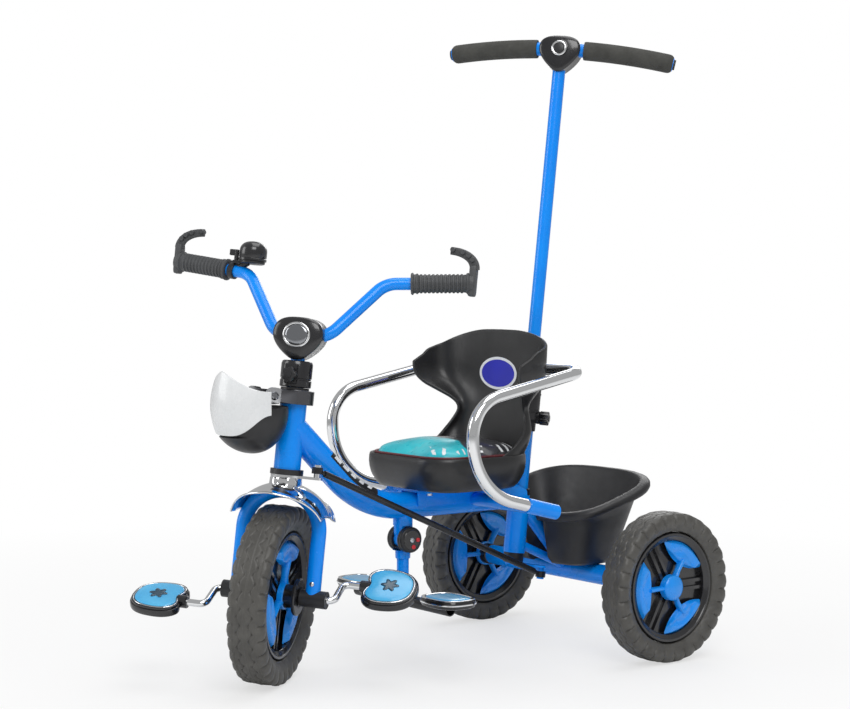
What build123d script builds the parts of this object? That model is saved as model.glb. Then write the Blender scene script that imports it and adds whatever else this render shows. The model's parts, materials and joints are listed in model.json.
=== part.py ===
"""Children's tricycle with a steering push handle, as separate pieces.

Millimetres. +Z is up, the tricycle faces -Y and the rider's left is +X.  The origin is on the floor
at the middle of the whole tricycle's box.  It stands with its front wheel turned to the rider's left.

Three local frames are used while modelling:
  chassis   on the floor under the middle of the rear axle
  steering  at the front hub, Z up along the raked steering axis, before the steering is turned
  pole      at the foot of the push pole, Z up along the pole, before it is turned
"""
from build123d import *

import os
from math import asin, cos, radians, sin, tan

# ---------------------------------------------------------------- driving dimensions
# wheels
rear_wheel_radius = 100.0
rear_tyre_width = 42.0
rear_rim_radius = 77.0
half_track = 195.0
front_wheel_radius = 112.5
front_tyre_width = 47.0
front_rim_radius = 84.0
wheelbase = 491.0
tyre_shoulder = 9.0
rim_wall = 7.0
rim_inset = 7.0         # the rim lies this far inside the tyre's side
wheel_hub_radius = 15.0
spoke_count = 3
rear_first_spoke = 0.0      # degrees from level at the back, upwards
front_first_spoke = -90.0
spoke_half = 8.0        # half its width, across and along the wheel
wheel_web = 2.5         # half the thickness of the disc between the spokes
spider_collar = 2.2

# tubes
tube_wall = 1.8
main_tube_wall = 2.2

# fits
seat_gap = 0.3          # between pieces that rest against each other
running_gap = 0.05      # radial, shaft in bearing
press_gap = 0.05        # radial, piece pressed or clamped round another
joint_gap = 0.3         # between pieces that turn past each other
cap_room = 1.0          # round a bent bar where it leaves its cap

# steering
eye_spacer = 5.0
steering_rake = 6.87    # degrees the steering axis leans back
steering_turned = 38.7  # degrees the front wheel is turned to the left as it stands
steerer_diameter = 22.0
steerer_bore = 18.4
head_tube_diameter = 34.0
head_tube_bore = 28.0
head_tube_foot = 158.0  # heights along the steering axis, from the hub
head_tube_top = 258.0
bush_flange = 6.7
upper_bush_flange = 3.0
steering_arm_plate = 3.0
fork_half_width = 50.0
fork_leg_diameter = 19.0
fork_arch_height = 81.0
axle_bush_diameter = 22.0
axle_bush_outer = 69.0
axle_bush_inner = 35.0
mudguard_sheet = 1.3
mudguard_front = 26.0   # degrees ahead of the crown
mudguard_rear = 30.0
mudguard_edge = 23.0    # its lower edges stand this far above the arch's centre

# handlebar
bar_diameter = 16.0
bar_height = 327.0
bar_bend = 34.0
stem_post_diameter = 18.0
stem_clamp_diameter = 40.0
stem_clamp_top = 295.0
stem_knob_height = 277.0
knob_stud = 6.0
cap_width = 66.0
cap_height = 54.0
cap_depth = 30.0
grip_length = 77.0
grip_diameter = 23.5
guard_bend = 30.0
bell_radius = 18.0
bell_base = 4.0
lever_pin_radius = 1.5

# cranks and pedals
crank_radius = 40.0
crank_angle = 28.5      # degrees above level
crank_plane = 78.0
crank_rod = 9.0
crank_bend = 9.0
pedal_width = 74.0
pedal_length = 75.0
pedal_thickness = 13.0
pedal_inner = 101.0
pedal_boss_radius = 8.0
pedal_corner = 29.0
pedal_notch = 11.0
pedal_boss_length = 14.0
left_pedal_tilt = 36.0
right_pedal_tilt = 24.0

# frame
main_tube_diameter = 35.0
main_tube_height = 211.0
main_tube_corner = 352.0    # ahead of the rear axle
main_tube_bend = 150.0
main_tube_slope = 45.0
axle_beam_diameter = 28.0
axle_beam_bore = 24.0
axle_beam_half = 168.0
rear_axle_diameter = 12.0
column_diameter = 30.0
column_bore = 26.0
column_foot = 17.0          # heights along the pole, from its foot
column_top = 97.0
brace_diameter = 19.0

# guard rail
rail_diameter = 16.0
rail_half_width = 156.0
socket_diameter = 19.6
socket_length = 50.0
crossbar_diameter = 18.0
rail_front = 297.0          # ahead of the rear axle
rail_back = 112.0
rail_low_front = 242.0
rail_high_front = 352.5
rail_back_height = 389.0
rail_foot_bend = 85.0
rail_front_bend = 50.0
rail_back_bend = 25.0

# seat
seat_front = 302.0
seat_back = 120.5
seat_half_width = 96.0
bracket_plate = 3.2
pan_floor = main_tube_height + main_tube_diameter / 2 + bracket_plate + seat_gap
pan_rim = pan_floor + 44.0
pan_knee = 14.0         # height of the sloping underside
seat_wall = 4.0
back_top = pan_rim + 168.0
back_half_width = 119.0
back_wing = 67.0
waist_half_width = 73.0
cushion_crown = 20.0

# push pole
pole_foot_y = -101.6
pole_foot_z = 115.0
pole_tube_diameter = 22.0
pole_tube_bore = 18.4
pole_diameter = 18.0
pole_tube_top = 240.0
handle_height = 722.0
handle_half_width = 160.0
handle_bar_diameter = 19.0
handle_droop = 12.4
handle_sweep = 12.3
handle_bend = 150.0
handle_grip_diameter = 26.0
grip_end_wall = 3.0
lock_diameter = 34.0
lock_foot = 186.0
lock_top = 249.0
pole_foot_end = 165.0       # lower end of the sliding pole inside the tube

# steering rod
rod_arm = 40.0
rod_diameter = 8.6
eye_radius = 7.0
eye_thickness = 8.0
pin_diameter = 6.0

# screws
screw_radius = 2.5

# basket
basket_floor = 114.3
basket_screw_head = 5.0    # radius
basket_screw_sink = 1.6
basket_wall = 3.0
basket_corner = 34.0
basket_top = 252.0          # where the sloping walls would end without the slanted rim
basket_floor_half_width = 72.0
basket_top_half_width = 126.0
basket_floor_front = -52.0
basket_floor_rear = 36.0
basket_top_front = -84.0
basket_top_rear = 72.0
basket_lip = 12.0
basket_lip_thickness = 5.0
basket_rim_tilt = 20.0
basket_rim_middle = 214.0

# footrest
footrest_y = -291.0
footrest_pivot = main_tube_height - 44.0
footrest_drum_radius = 17.0
footrest_post_diameter = 16.0
footrest_bar_height = 86.0
footrest_pad_x = 95.0
footrest_pad_width = 74.0
footrest_pad_length = 58.0

# lamp; places are ahead of the steering axis (-Y) and along it from the hub
lamp_radius = 51.0
lamp_middle = -75.0
lamp_half_width = 50.0
lamp_peak = (-109.5, 273.6)
lamp_front = (-125.8, 225.3)
lamp_chin = (-88.8, 193.5)
lamp_keel = (-55.4, 175.3)
lamp_back = (-21.9, 215.6)
lamp_roof = 300.0
lamp_seam = -64.5
lamp_side_top = 249.0
lamp_side_foot = 222.0
lamp_wall = 2.6
lens_wall = 2.0

# ---------------------------------------------------------------- frames and helpers
# the turned wheel leans over, so its hub stands a little higher than its radius
wheel_lean = asin(sin(radians(steering_turned)) * sin(radians(steering_rake)))
crown_half = front_tyre_width / 2 - tyre_shoulder
front_hub_height = front_wheel_radius * cos(wheel_lean) + crown_half * sin(wheel_lean)
chassis_steering = Pos(0, -wheelbase, front_hub_height) * Rot(-steering_rake, 0, 0)
turned = Rot(0, 0, steering_turned)
steering_frame = chassis_steering * turned
pole_axis_frame = Pos(0, pole_foot_y, pole_foot_z) * Rot(-steering_rake, 0, 0)
pole_frame = pole_axis_frame * turned


def rod(diameter, start, end):
    """Straight round bar between two points."""
    start = Vector(*start)
    end = Vector(*end)
    length = (end - start).length
    plane = Plane(origin=start, z_dir=end - start)
    return plane * Pos(0, 0, length / 2) * Cylinder(diameter / 2, length)


def straight_run(radius, start, end):
    """Cylinder between two points, or nothing where the arcs meet."""
    if (end - start).length < 0.01:
        return []
    return [rod(2 * radius, start, end)]


def bent_rod(diameter, points, bends):
    """Round bar along straight runs joined by arcs; bends holds one radius for each corner."""
    corners = [Vector(*p) for p in points]
    start = corners[0]
    pieces = []
    for before, corner, after, bend in zip(corners, corners[1:], corners[2:], bends):
        arrive = (corner - before).normalized()
        leave = (after - corner).normalized()
        turn = arrive.get_angle(leave)
        reach = bend * tan(radians(turn / 2))
        arc_start = corner - arrive * reach
        inwards = (leave - arrive * arrive.dot(leave)).normalized()
        section = Plane(origin=arc_start, z_dir=arrive) * Circle(diameter / 2)
        pieces.extend(straight_run(diameter / 2, start, arc_start))
        pieces.append(revolve(section, Axis(arc_start + inwards * bend, arrive.cross(leave)), turn))
        start = corner + leave * reach
    pieces.extend(straight_run(diameter / 2, start, corners[-1]))
    bar = pieces[0]
    for piece in pieces[1:]:
        bar += piece
    return bar





def disc(radius, x0, x1):
    """Cylinder along X between two places."""
    return Pos((x0 + x1) / 2, 0, 0) * Rot(0, 90, 0) * Cylinder(radius, abs(x1 - x0))


def post(radius, z0, z1):
    """Cylinder along Z between two heights."""
    return Pos(0, 0, (z0 + z1) / 2) * Cylinder(radius, abs(z1 - z0))


def block(x0, x1, y0, y1, z0, z1):
    """Box between two corners."""
    return Pos((x0 + x1) / 2, (y0 + y1) / 2, (z0 + z1) / 2) * Box(x1 - x0, y1 - y0, z1 - z0)


def mirrored(shape):
    """The same piece on the other side of the middle plane."""
    return mirror(shape, about=Plane.YZ)


def both_sides(shape):
    return [shape, mirrored(shape)]


def as_solids(shape):
    """Flat list of the solids in one piece or in a list of pieces."""
    pieces = shape if isinstance(shape, (list, tuple)) else [shape]
    found = []
    for piece in pieces:
        found.extend(piece.solids())
    return found


# ---------------------------------------------------------------- wheels
def tyre(radius, width, rim_radius):
    """Foam tyre: flat crown, round shoulders, side walls that bulge past the rim."""
    half = width / 2
    seat = rim_radius - rim_wall
    outline = Polyline(
        (half - rim_inset, seat), (half, rim_radius + rim_inset), (half, radius - tyre_shoulder),
        (half - tyre_shoulder, radius), (-half + tyre_shoulder, radius), (-half, radius - tyre_shoulder),
        (-half, rim_radius + rim_inset), (-half + rim_inset, seat), close=True)
    section = make_face(outline)
    return revolve(section, Axis.X)


def rim(width, rim_radius, hub_in, hub_out, bore, first_spoke, flange=0.0):
    """Black rim: ring, dished disc, three ribbed spokes and the hub; angles run from the back upwards."""
    half = width / 2 - rim_inset
    seat = rim_radius - rim_wall
    inner = seat - rim_wall
    ring = disc(seat, -half, half) - disc(inner, -half - 1, half + 1)
    body = ring + disc(inner + 1, -wheel_web, wheel_web) + disc(wheel_hub_radius, hub_in, hub_out)
    for k in range(spoke_count):
        spoke = block(-spoke_half, spoke_half, -7, 7, wheel_hub_radius - 3, inner + 1)
        for side in (-1, 1):
            x0, x1 = sorted((side * (spoke_half - 3), side * (spoke_half + 1)))
            spoke -= block(x0, x1, -2.5, 2.5, wheel_hub_radius + 6, inner - 4)
        slot = block(-spoke_half - 1, spoke_half + 1, -2.5, 2.5, wheel_hub_radius + 6, wheel_hub_radius + 18)
        body += Rot(first_spoke - 90 + 360 / spoke_count * k, 0, 0) * spoke
        body -= Rot(first_spoke - 90 + 360 / spoke_count * k, 0, 0) * slot
    if flange:
        body += disc(flange, hub_out - 3, hub_out)
        body += disc(flange, hub_in, hub_in + 3)
    return body - disc(bore / 2, hub_in - 1, hub_out + 1)


def spider_face(rim_radius, x0, thickness, first_spoke):
    """Blue three-lobed cover on one side of a wheel: lens-shaped lobes on short arms between the spokes."""
    limit = rim_radius - 2 * rim_wall - 0.5
    lens = Circle(limit) & (Pos(0, 1.5 * limit) * Circle(0.96 * limit))
    arm = Pos(0, limit / 2) * Rectangle(13, limit * 0.6)
    plate = Plane.YZ * Circle(wheel_hub_radius + spider_collar)
    for k in range(spoke_count):
        turn = first_spoke - 90 + 360 / spoke_count * (k + 0.5)
        plate += Plane.YZ * Rot(0, 0, turn) * (lens + arm)
    body = Pos(x0, 0, 0) * extrude(plate, amount=thickness, dir=(1, 0, 0))
    return body - disc(wheel_hub_radius + seat_gap, x0 - 1, x0 + thickness + 1)


# ---------------------------------------------------------------- rear axle and wheels
hub_inner = axle_beam_half + joint_gap - half_track        # from the wheel's middle plane
hub_outer = rear_tyre_width / 2 - rim_inset
nut_thickness = 4.0
nut_radius = 9.5


def rear_wheel():
    wheel_tyre = tyre(rear_wheel_radius, rear_tyre_width, rear_rim_radius)
    bore = rear_axle_diameter + 2 * running_gap
    wheel_rim = rim(rear_tyre_width, rear_rim_radius, hub_inner, hub_outer, bore, rear_first_spoke)
    foot = spoke_half + seat_gap
    outer = spider_face(rear_rim_radius, foot, hub_outer - foot, rear_first_spoke) + nut_cover(hub_outer)
    inner = mirrored(spider_face(rear_rim_radius, foot, 5, rear_first_spoke))
    return wheel_tyre, wheel_rim, [outer, inner]


def nut_cover(base):
    """Hollow cover over the axle nut, on the outer spider's collar."""
    wall = 1.8
    crown = hub_outer + joint_gap + nut_thickness + 1.5
    outer = wheel_hub_radius + spider_collar
    inner = wheel_hub_radius + seat_gap
    profile = Polyline((base, inner), (base, outer), (hub_outer + 1, outer), (crown + wall, 0.55 * outer),
                       (crown + wall, 0), (crown, 0), (crown, nut_radius + joint_gap), (hub_outer + 0.5, inner), close=True)
    return revolve(make_face(profile), Axis.X)


def place_rear(piece, side):
    moved = Pos(half_track, 0, rear_wheel_radius) * piece
    return moved if side > 0 else mirrored(moved)


def rear_axle():
    """Steel axle through the beam, with a nut at each end."""
    end = half_track + hub_outer + joint_gap + nut_thickness
    axle = disc(rear_axle_diameter / 2, -end, end)
    for side in (-1, 1):
        axle += disc(nut_radius, side * (end - nut_thickness), side * end)
    return Pos(0, 0, rear_wheel_radius) * axle


def axle_beam():
    beam = disc(axle_beam_diameter / 2, -axle_beam_half, axle_beam_half)
    beam -= disc(axle_beam_bore / 2, -axle_beam_half - 1, axle_beam_half + 1)
    beam = Pos(0, 0, rear_wheel_radius) * beam
    for x, y in basket_screw_places():
        beam -= Pos(x, y, 0) * post(screw_radius + press_gap, rear_wheel_radius, rear_wheel_radius + axle_beam_diameter)
    return beam


def rear_axle_bushes():
    """Plastic bushes pressed in the ends of the beam."""
    bush = disc(axle_beam_bore / 2 - press_gap, axle_beam_half - 22, axle_beam_half - 0.5)
    bush -= disc(rear_axle_diameter / 2 + press_gap, 0, axle_beam_half + 1)
    return [Pos(0, 0, rear_wheel_radius) * piece for piece in both_sides(bush)]


# ---------------------------------------------------------------- frame
def head_outline():
    return chassis_steering * post(head_tube_diameter / 2, head_tube_foot, head_tube_top)


def head_tube():
    tube = post(head_tube_diameter / 2, head_tube_foot, head_tube_top)
    return chassis_steering * (tube - post(head_tube_bore / 2, head_tube_foot - 1, head_tube_top + 1))


def headset_bushes():
    """Flanged plastic bushes at both ends of the head tube."""
    hole = steerer_diameter / 2 + running_gap
    lower = post(21, head_tube_foot - bush_flange, head_tube_foot)
    lower += post(head_tube_bore / 2 - press_gap, head_tube_foot, head_tube_foot + 14)
    upper = post(18, head_tube_top, head_tube_top + upper_bush_flange)
    upper += post(head_tube_bore / 2 - press_gap, head_tube_top - 14, head_tube_top)
    bore = post(hole, head_tube_foot - 20, head_tube_top + 20)
    return [chassis_steering * (lower - bore), chassis_steering * (upper - bore)]


def main_tube_path():
    """Corner points of the swooping tube, from the steering axis to the pole column."""
    slope = tan(radians(main_tube_slope))
    lean = tan(radians(steering_rake))
    # where the sloping run crosses the steering axis
    rise = (wheelbase - main_tube_corner + lean * (front_hub_height - main_tube_height)) / (1 / slope + lean)
    start = (0, -main_tube_corner - rise / slope, main_tube_height + rise)
    corner = (0, -main_tube_corner, main_tube_height)
    end = (0, pole_foot_y + lean * (main_tube_height - pole_foot_z), main_tube_height)
    return start, corner, end


def main_tube():
    tube = main_tube_outline()
    tube -= chassis_steering * post(head_tube_diameter / 2, head_tube_foot - 60, head_tube_top + 60)
    tube -= pole_axis_frame * post(column_diameter / 2, 0, 200)
    bore = bent_rod(main_tube_diameter - 2 * main_tube_wall, main_tube_path(), [main_tube_bend])
    tube -= bore - chassis_steering * post(head_tube_diameter / 2 + 3, 0, 400) \
        - pole_axis_frame * post(column_diameter / 2 + 3, 0, 200)
    return largest(tube)


def column_outline():
    return pole_axis_frame * post(column_diameter / 2, column_foot, column_top)


def pole_column():
    tube = post(column_diameter / 2, column_foot, column_top)
    return pole_axis_frame * (tube - post(column_bore / 2, column_foot - 1, column_top + 1))


def column_bushes():
    """Flanged bushes that carry the push pole in its column."""
    hole = pole_tube_diameter / 2 + running_gap
    lower = post(14, steering_arm_plate + joint_gap, column_foot)
    lower += post(column_bore / 2 - press_gap, column_foot, column_foot + 12)
    upper = post(14, column_top, column_top + 9)
    upper += post(column_bore / 2 - press_gap, column_top - 12, column_top)
    bore = post(hole, -5, column_top + 20)
    return [pole_axis_frame * (lower - bore), pole_axis_frame * (upper - bore)]


def brace_top():
    start, corner, end = main_tube_path()
    return (0, end[1] + 4, main_tube_height - 12)


def brace_foot():
    return (0, -2, rear_wheel_radius + 3)


def frame_brace():
    """Two sloping tubes from the column's ends back to the axle beam."""
    upper = rod(brace_diameter, brace_top(), brace_foot())
    lower = rod(brace_diameter * 0.63, (0, pole_foot_y, pole_foot_z + column_foot + 16), brace_foot())
    beam = Pos(0, 0, rear_wheel_radius) * disc(axle_beam_diameter / 2, -60, 60)
    return largest(upper + lower - beam - column_outline() - main_tube_outline())


def main_tube_outline():
    return bent_rod(main_tube_diameter, main_tube_path(), [main_tube_bend])


def largest(shape):
    return max(shape.solids(), key=lambda s: s.volume)


def rail_points():
    """Corners of the guard rail's path on the left side, from its foot to the back."""
    w = rail_half_width
    foot_slope = 0.25
    foot_y = -rail_back - 51
    foot = (w, foot_y, rail_low_front - foot_slope * (rail_front + foot_y))
    return [foot, (w, -rail_front, rail_low_front), (w, -rail_front, rail_high_front), (w, -rail_back, rail_back_height)]


def guard_rail():
    left = rail_points()
    right = [(-x, y, z) for x, y, z in reversed(left)]
    bends = [rail_foot_bend, rail_front_bend, rail_back_bend]
    return bent_rod(rail_diameter, left + right, bends + bends[::-1])


def rail_sockets():
    """Blue cross tube under the seat with a closed socket at each end."""
    foot, front = rail_points()[:2]
    foot = Vector(*foot)
    along = (Vector(*front) - foot).normalized()
    back = foot - along * 4
    mouth = back + along * socket_length
    socket = rod(socket_diameter, back, mouth)
    socket -= rod(rail_diameter, foot, (mouth + along * 2))
    middle = foot + along * (socket_length / 2 - 4)
    cross = rod(crossbar_diameter, (0, middle.Y, middle.Z), (rail_half_width, middle.Y, middle.Z))
    cross -= rod(socket_diameter, (back - along * 30), (mouth + along * 30))
    cross -= main_tube_outline()
    cross = largest(cross)
    arm = socket + cross
    return both_sides(arm)


def rail_cross_place():
    foot, front = rail_points()[:2]
    foot = Vector(*foot)
    along = (Vector(*front) - foot).normalized()
    return foot + along * (socket_length / 2 - 4)


def seat_bracket():
    """Folded plate on the main tube that carries the seat."""
    top = main_tube_height + main_tube_diameter / 2
    half = main_tube_diameter / 2
    front = -seat_front + 22
    rear = -seat_back - 32
    plate = block(-36, 36, front, rear, top, pan_floor - seat_gap)
    flange = block(half, half + 2.5, front, rear, main_tube_height, top)
    cross = rail_cross_place()
    notch = rod(crossbar_diameter + 2 * seat_gap, (-60, cross.Y, cross.Z), (60, cross.Y, cross.Z))
    body = (plate + flange + mirrored(flange)) - notch
    for x, y in seat_screw_places():
        body -= Pos(x, y, 0) * post(screw_radius + press_gap, top - 1, pan_floor + 1)
    return body


def seat_screw_places():
    front = -seat_front + 34
    rear = -seat_back - 44
    return [(x, y) for x in (-28, 28) for y in (front, rear)]


def seat_screws():
    """Screws up through the bracket in the seat's floor."""
    top = main_tube_height + main_tube_diameter / 2
    screws = []
    for x, y in seat_screw_places():
        screw = post(screw_radius, top - 3, pan_floor + seat_wall - 1 - seat_gap)
        screw += post(1.8 * screw_radius, top - 3.4, top - seat_gap)
        screws.append(Pos(x, y, 0) * screw)
    return screws


# ---------------------------------------------------------------- seat
def pan_outline(grow):
    length = seat_front - seat_back + 2 * grow
    middle = -(seat_front + seat_back) / 2
    return Pos(0, middle) * RectangleRounded(2 * (seat_half_width + grow), length, 48 + grow)


def pan_solid(grow, foot, top):
    """Dish with steep sides over a sloping underside."""
    knee = foot + pan_knee
    upper = extrude(Plane.XY.offset(top) * pan_outline(grow), amount=knee - top, taper=3)
    lower = extrude(Plane.XY.offset(knee) * pan_outline(grow - (top - knee) * tan(radians(3))), amount=foot - knee, taper=38)
    return upper + lower


def back_sheet():
    """Seat back: a curved sheet, wings forward at the top and a waist below."""
    w = back_half_width
    wing = back_wing
    outer = make_face(back_plan(w, wing, 0))
    inner = make_face(back_plan(w - seat_wall, wing + 2, seat_wall))
    sheet = extrude(Plane.XY.offset(pan_floor + 6) * (outer - inner), amount=back_top - pan_floor - 6)
    y0 = -seat_back
    side = Polyline(
        (y0 - wing + 2, back_top - 34), (y0 - wing + 2, back_top - 64), (y0 - 40, pan_rim + 80), (y0 - 25, pan_rim + 66),
        (y0 - 24, pan_rim + 42), (y0 - 40, pan_rim + 18), (y0 - 90, pan_rim - 2), (y0 - 90, pan_floor + 6), (y0 + 5, pan_floor + 6),
        (y0 + 5, back_top + 2), (y0 - 20, back_top), close=True)
    side_face = Plane.YZ * make_face(side)
    side_cut = extrude(side_face, amount=150, both=True)
    front = Polyline(
        (-46, back_top + 1), (46, back_top + 1), (w + 2, back_top - 26), (w + 2, pan_rim + 100), (waist_half_width + 8, pan_rim + 66),
        (waist_half_width, pan_rim + 50), (seat_half_width - 6, pan_rim), (seat_half_width - 16, pan_floor + 6),
        (-seat_half_width + 16, pan_floor + 6), (-seat_half_width + 6, pan_rim), (-waist_half_width, pan_rim + 50),
        (-waist_half_width - 8, pan_rim + 66), (-w - 2, pan_rim + 100), (-w - 2, back_top - 26), close=True)
    front_face = Plane.XZ * make_face(front)
    front_cut = extrude(front_face, amount=400, both=True)
    return sheet & side_cut & front_cut


def back_plan(half, wing, inset):
    """Plan of the seat back, open to the front."""
    y0 = -seat_back - inset
    bend = 46.0
    return FilletPolyline(
        (half, -seat_back - wing), (half, y0), (-half, y0), (-half, -seat_back - wing), radius=bend, close=False) \
        + Line((-half, -seat_back - wing), (half, -seat_back - wing))


def seat_shell():
    outer = pan_solid(0, pan_floor, pan_rim)
    inner = pan_solid(-seat_wall, pan_floor + seat_wall, pan_rim + 0.01)
    pan = outer - inner
    shell = pan + (back_sheet() - inner)
    for x, y in seat_screw_places():
        shell -= Pos(x, y, 0) * post(screw_radius + press_gap, pan_floor - 1, pan_floor + seat_wall - 1)
    return largest(shell)


def seat_cushion():
    """Padded cushion in the seat's dish."""
    foot = pan_floor + seat_wall + seat_gap
    widest = pan_rim - 4
    lower = extrude(Plane.XY.offset(widest) * pan_outline(-10), amount=foot - widest, taper=22)
    upper = extrude(Plane.XY.offset(widest) * pan_outline(-10), amount=cushion_crown + 4, taper=40)
    return lower + upper


# ---------------------------------------------------------------- basket
def brace_recess(grow):
    """Room under the sloping brace, from the basket's front wall to its floor."""
    reach = brace_diameter / 2 + basket_wall + 1.0 - grow
    upper = Vector(*brace_top())
    lower = Vector(*brace_foot())
    along = (lower - upper).normalized()
    normal = Vector(0, -along.Z, along.Y)
    above = upper - along * 60 + normal * reach
    below = lower + along * 60 + normal * reach
    outline = Polyline((above.Y, above.Z), (below.Y, below.Z), (-200, below.Z), (-200, above.Z), close=True)
    return extrude(Plane.YZ * make_face(outline), amount=reach, both=True)


def basket_solid(grow):
    """Tub of sloping flat walls with rounded corners; grow moves its walls out."""
    foot = basket_floor - grow
    floor_x = basket_floor_half_width + grow
    top_x = basket_top_half_width + grow
    across = Polyline((-floor_x, foot), (floor_x, foot), (top_x, basket_top), (-top_x, basket_top), close=True)
    along = Polyline((basket_floor_front - grow, foot), (basket_floor_rear + grow, foot),
                     (basket_top_rear + grow, basket_top), (basket_top_front - grow, basket_top), close=True)
    tub = extrude(Plane.XZ * make_face(across), amount=200, both=True)
    tub &= extrude(Plane.YZ * make_face(along), amount=200, both=True)
    corners = tub.edges().filter_by(lambda edge: abs((edge % 0.5).Z) > 0.5)
    return fillet(corners, basket_corner + grow)


def rim_slab(below, above):
    """Slab along the basket's sloping rim."""
    slab = block(-200, 200, -200, 200, -below, above)
    return Pos(0, -5, basket_rim_middle) * Rot(basket_rim_tilt, 0, 0) * slab


def basket():
    outer = basket_solid(0) - brace_recess(basket_wall)
    inner = basket_solid(-basket_wall) - brace_recess(0)
    tub = (outer - inner) - rim_slab(0, 200)
    lip = (basket_solid(basket_lip) - brace_recess(basket_wall) - inner) & rim_slab(basket_lip_thickness, 0)
    body = tub + lip
    seat = basket_floor + basket_wall - basket_screw_sink
    for x, y in basket_screw_places():
        body -= Pos(x, y, 0) * post(screw_radius + seat_gap, basket_floor - 1, seat + 1)
        body -= Pos(x, y, 0) * post(basket_screw_head + seat_gap, seat, seat + basket_wall)
    return largest(body)


def basket_screw_places():
    return [(x, 0) for x in (-45, 45)]


def basket_screws():
    """Screws through the basket's floor in the axle beam, their heads sunk in it."""
    screws = []
    seat = basket_floor + basket_wall - basket_screw_sink + seat_gap
    for x, y in basket_screw_places():
        screw = post(screw_radius, rear_wheel_radius + axle_beam_bore / 2 + 0.5, seat)
        screw += post(basket_screw_head, seat, basket_floor + basket_wall - 0.1)
        screws.append(Pos(x, y, 0) * screw)
    return screws


# ---------------------------------------------------------------- fork and front wheel
def fork():
    """Inverted U of tube with the steerer above it."""
    w = fork_half_width
    crown = fork_arch_height + w
    leg = Pos(w, 0, 0) * post(fork_leg_diameter / 2, 0, fork_arch_height)
    arch = Pos(0, 0, fork_arch_height) * (Plane.XY * Pos(w, 0) * Circle(fork_leg_diameter / 2))
    tube = leg + mirrored(leg) + revolve(arch, Axis((0, 0, fork_arch_height), (0, -1, 0)), 180)
    for bush in axle_bush_outlines():
        tube -= bush
    tube -= block(-80, 80, -30, 30, -40, 2)
    tube += post(steerer_diameter / 2, crown, stem_clamp_top - 4 - seat_gap)
    tube -= post(steerer_bore / 2, head_tube_foot + 20, stem_clamp_top + 2)
    return largest(tube)


def axle_bush_outlines():
    outline = disc(axle_bush_diameter / 2, axle_bush_inner, axle_bush_outer)
    return both_sides(outline)


def axle_bushes():
    """Black bearing blocks under the fork legs."""
    bore = disc(crank_rod / 2 + running_gap, -100, 100)
    return [outline - bore for outline in axle_bush_outlines()]


def front_mudguard():
    """Chromed guard over the fork's arch, with its crown boss."""
    inner = fork_half_width + fork_leg_diameter / 2 + seat_gap
    outer = inner + mudguard_sheet
    window = Plane.XZ * (Pos(0, fork_arch_height + mudguard_edge + outer) * Rectangle(3 * outer, 2 * outer))
    rings = [Plane.XZ * (Pos(0, fork_arch_height) * Circle(radius)) for radius in (outer, inner)]
    back = Rot(-mudguard_rear, 0, 0)
    sweep_angle = mudguard_front + mudguard_rear
    guard = back * revolve((rings[0] - rings[1]) & window, Axis.X, sweep_angle)
    under = back * revolve(rings[0] & window, Axis.X, sweep_angle)
    boss_top = head_tube_foot - bush_flange - joint_gap - steering_arm_plate
    boss = post(19, fork_arch_height + 30, boss_top) - under
    boss = max(boss.solids(), key=lambda s: s.center().Z)
    hole = post(steerer_diameter / 2 + 0.1, 0, 300)
    return (guard + boss) - hole


def steering_arm():
    """Chromed arm on the crown that pulls the rod."""
    top = head_tube_foot - bush_flange - joint_gap
    foot = top - steering_arm_plate
    plate = post(20, foot, top) + Pos(rod_arm, 0, 0) * post(eye_radius, foot, top)
    plate += block(0, rod_arm, -eye_radius, eye_radius, foot, top)
    plate -= post(steerer_diameter / 2 + 0.02, foot - 1, top + 1)
    pin = post(pin_diameter / 2, top, rod_front_height() + eye_thickness / 2 + 1.5)
    pin += post(pin_diameter / 2 + 1, top, top + eye_spacer - seat_gap)
    head = post(pin_diameter / 2 + 2, rod_front_height() + eye_thickness / 2 + joint_gap,
                rod_front_height() + eye_thickness / 2 + 3)
    return plate + Pos(rod_arm, 0, 0) * (pin + head)


def rod_front_height():
    return head_tube_foot - bush_flange - joint_gap + eye_thickness / 2 + eye_spacer


def rod_rear_height():
    """Along the pole: the rod's rear eye hangs under the pole's arm."""
    return -eye_thickness / 2 - eye_spacer


def bar_points():
    return [(0, 0, bar_height), (34, 4, bar_height), (92, 46, bar_height + 77), (199, 67.4, bar_height + 87.5)]


def handlebar_tube(extra):
    left = bar_points()
    right = [(-x, y, z) for x, y, z in reversed(left[1:])]
    return bent_rod(bar_diameter + 2 * extra, right + left[1:], [bar_bend] * 4)


def handlebar():
    bar = handlebar_tube(0) + post(stem_post_diameter / 2, head_tube_top + 12, bar_height)
    return bar - post(stem_post_diameter / 2 - tube_wall, head_tube_top, bar_height - bar_diameter / 2)


def grip_frame():
    """Frame at the left grip's inner end, Z outwards along the bar."""
    inner, outer = [Vector(*p) for p in bar_points()[2:]]
    along = (outer - inner).normalized()
    start = outer - along * grip_length
    return Plane(origin=start, x_dir=(0, 0, 1), z_dir=along)


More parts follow.
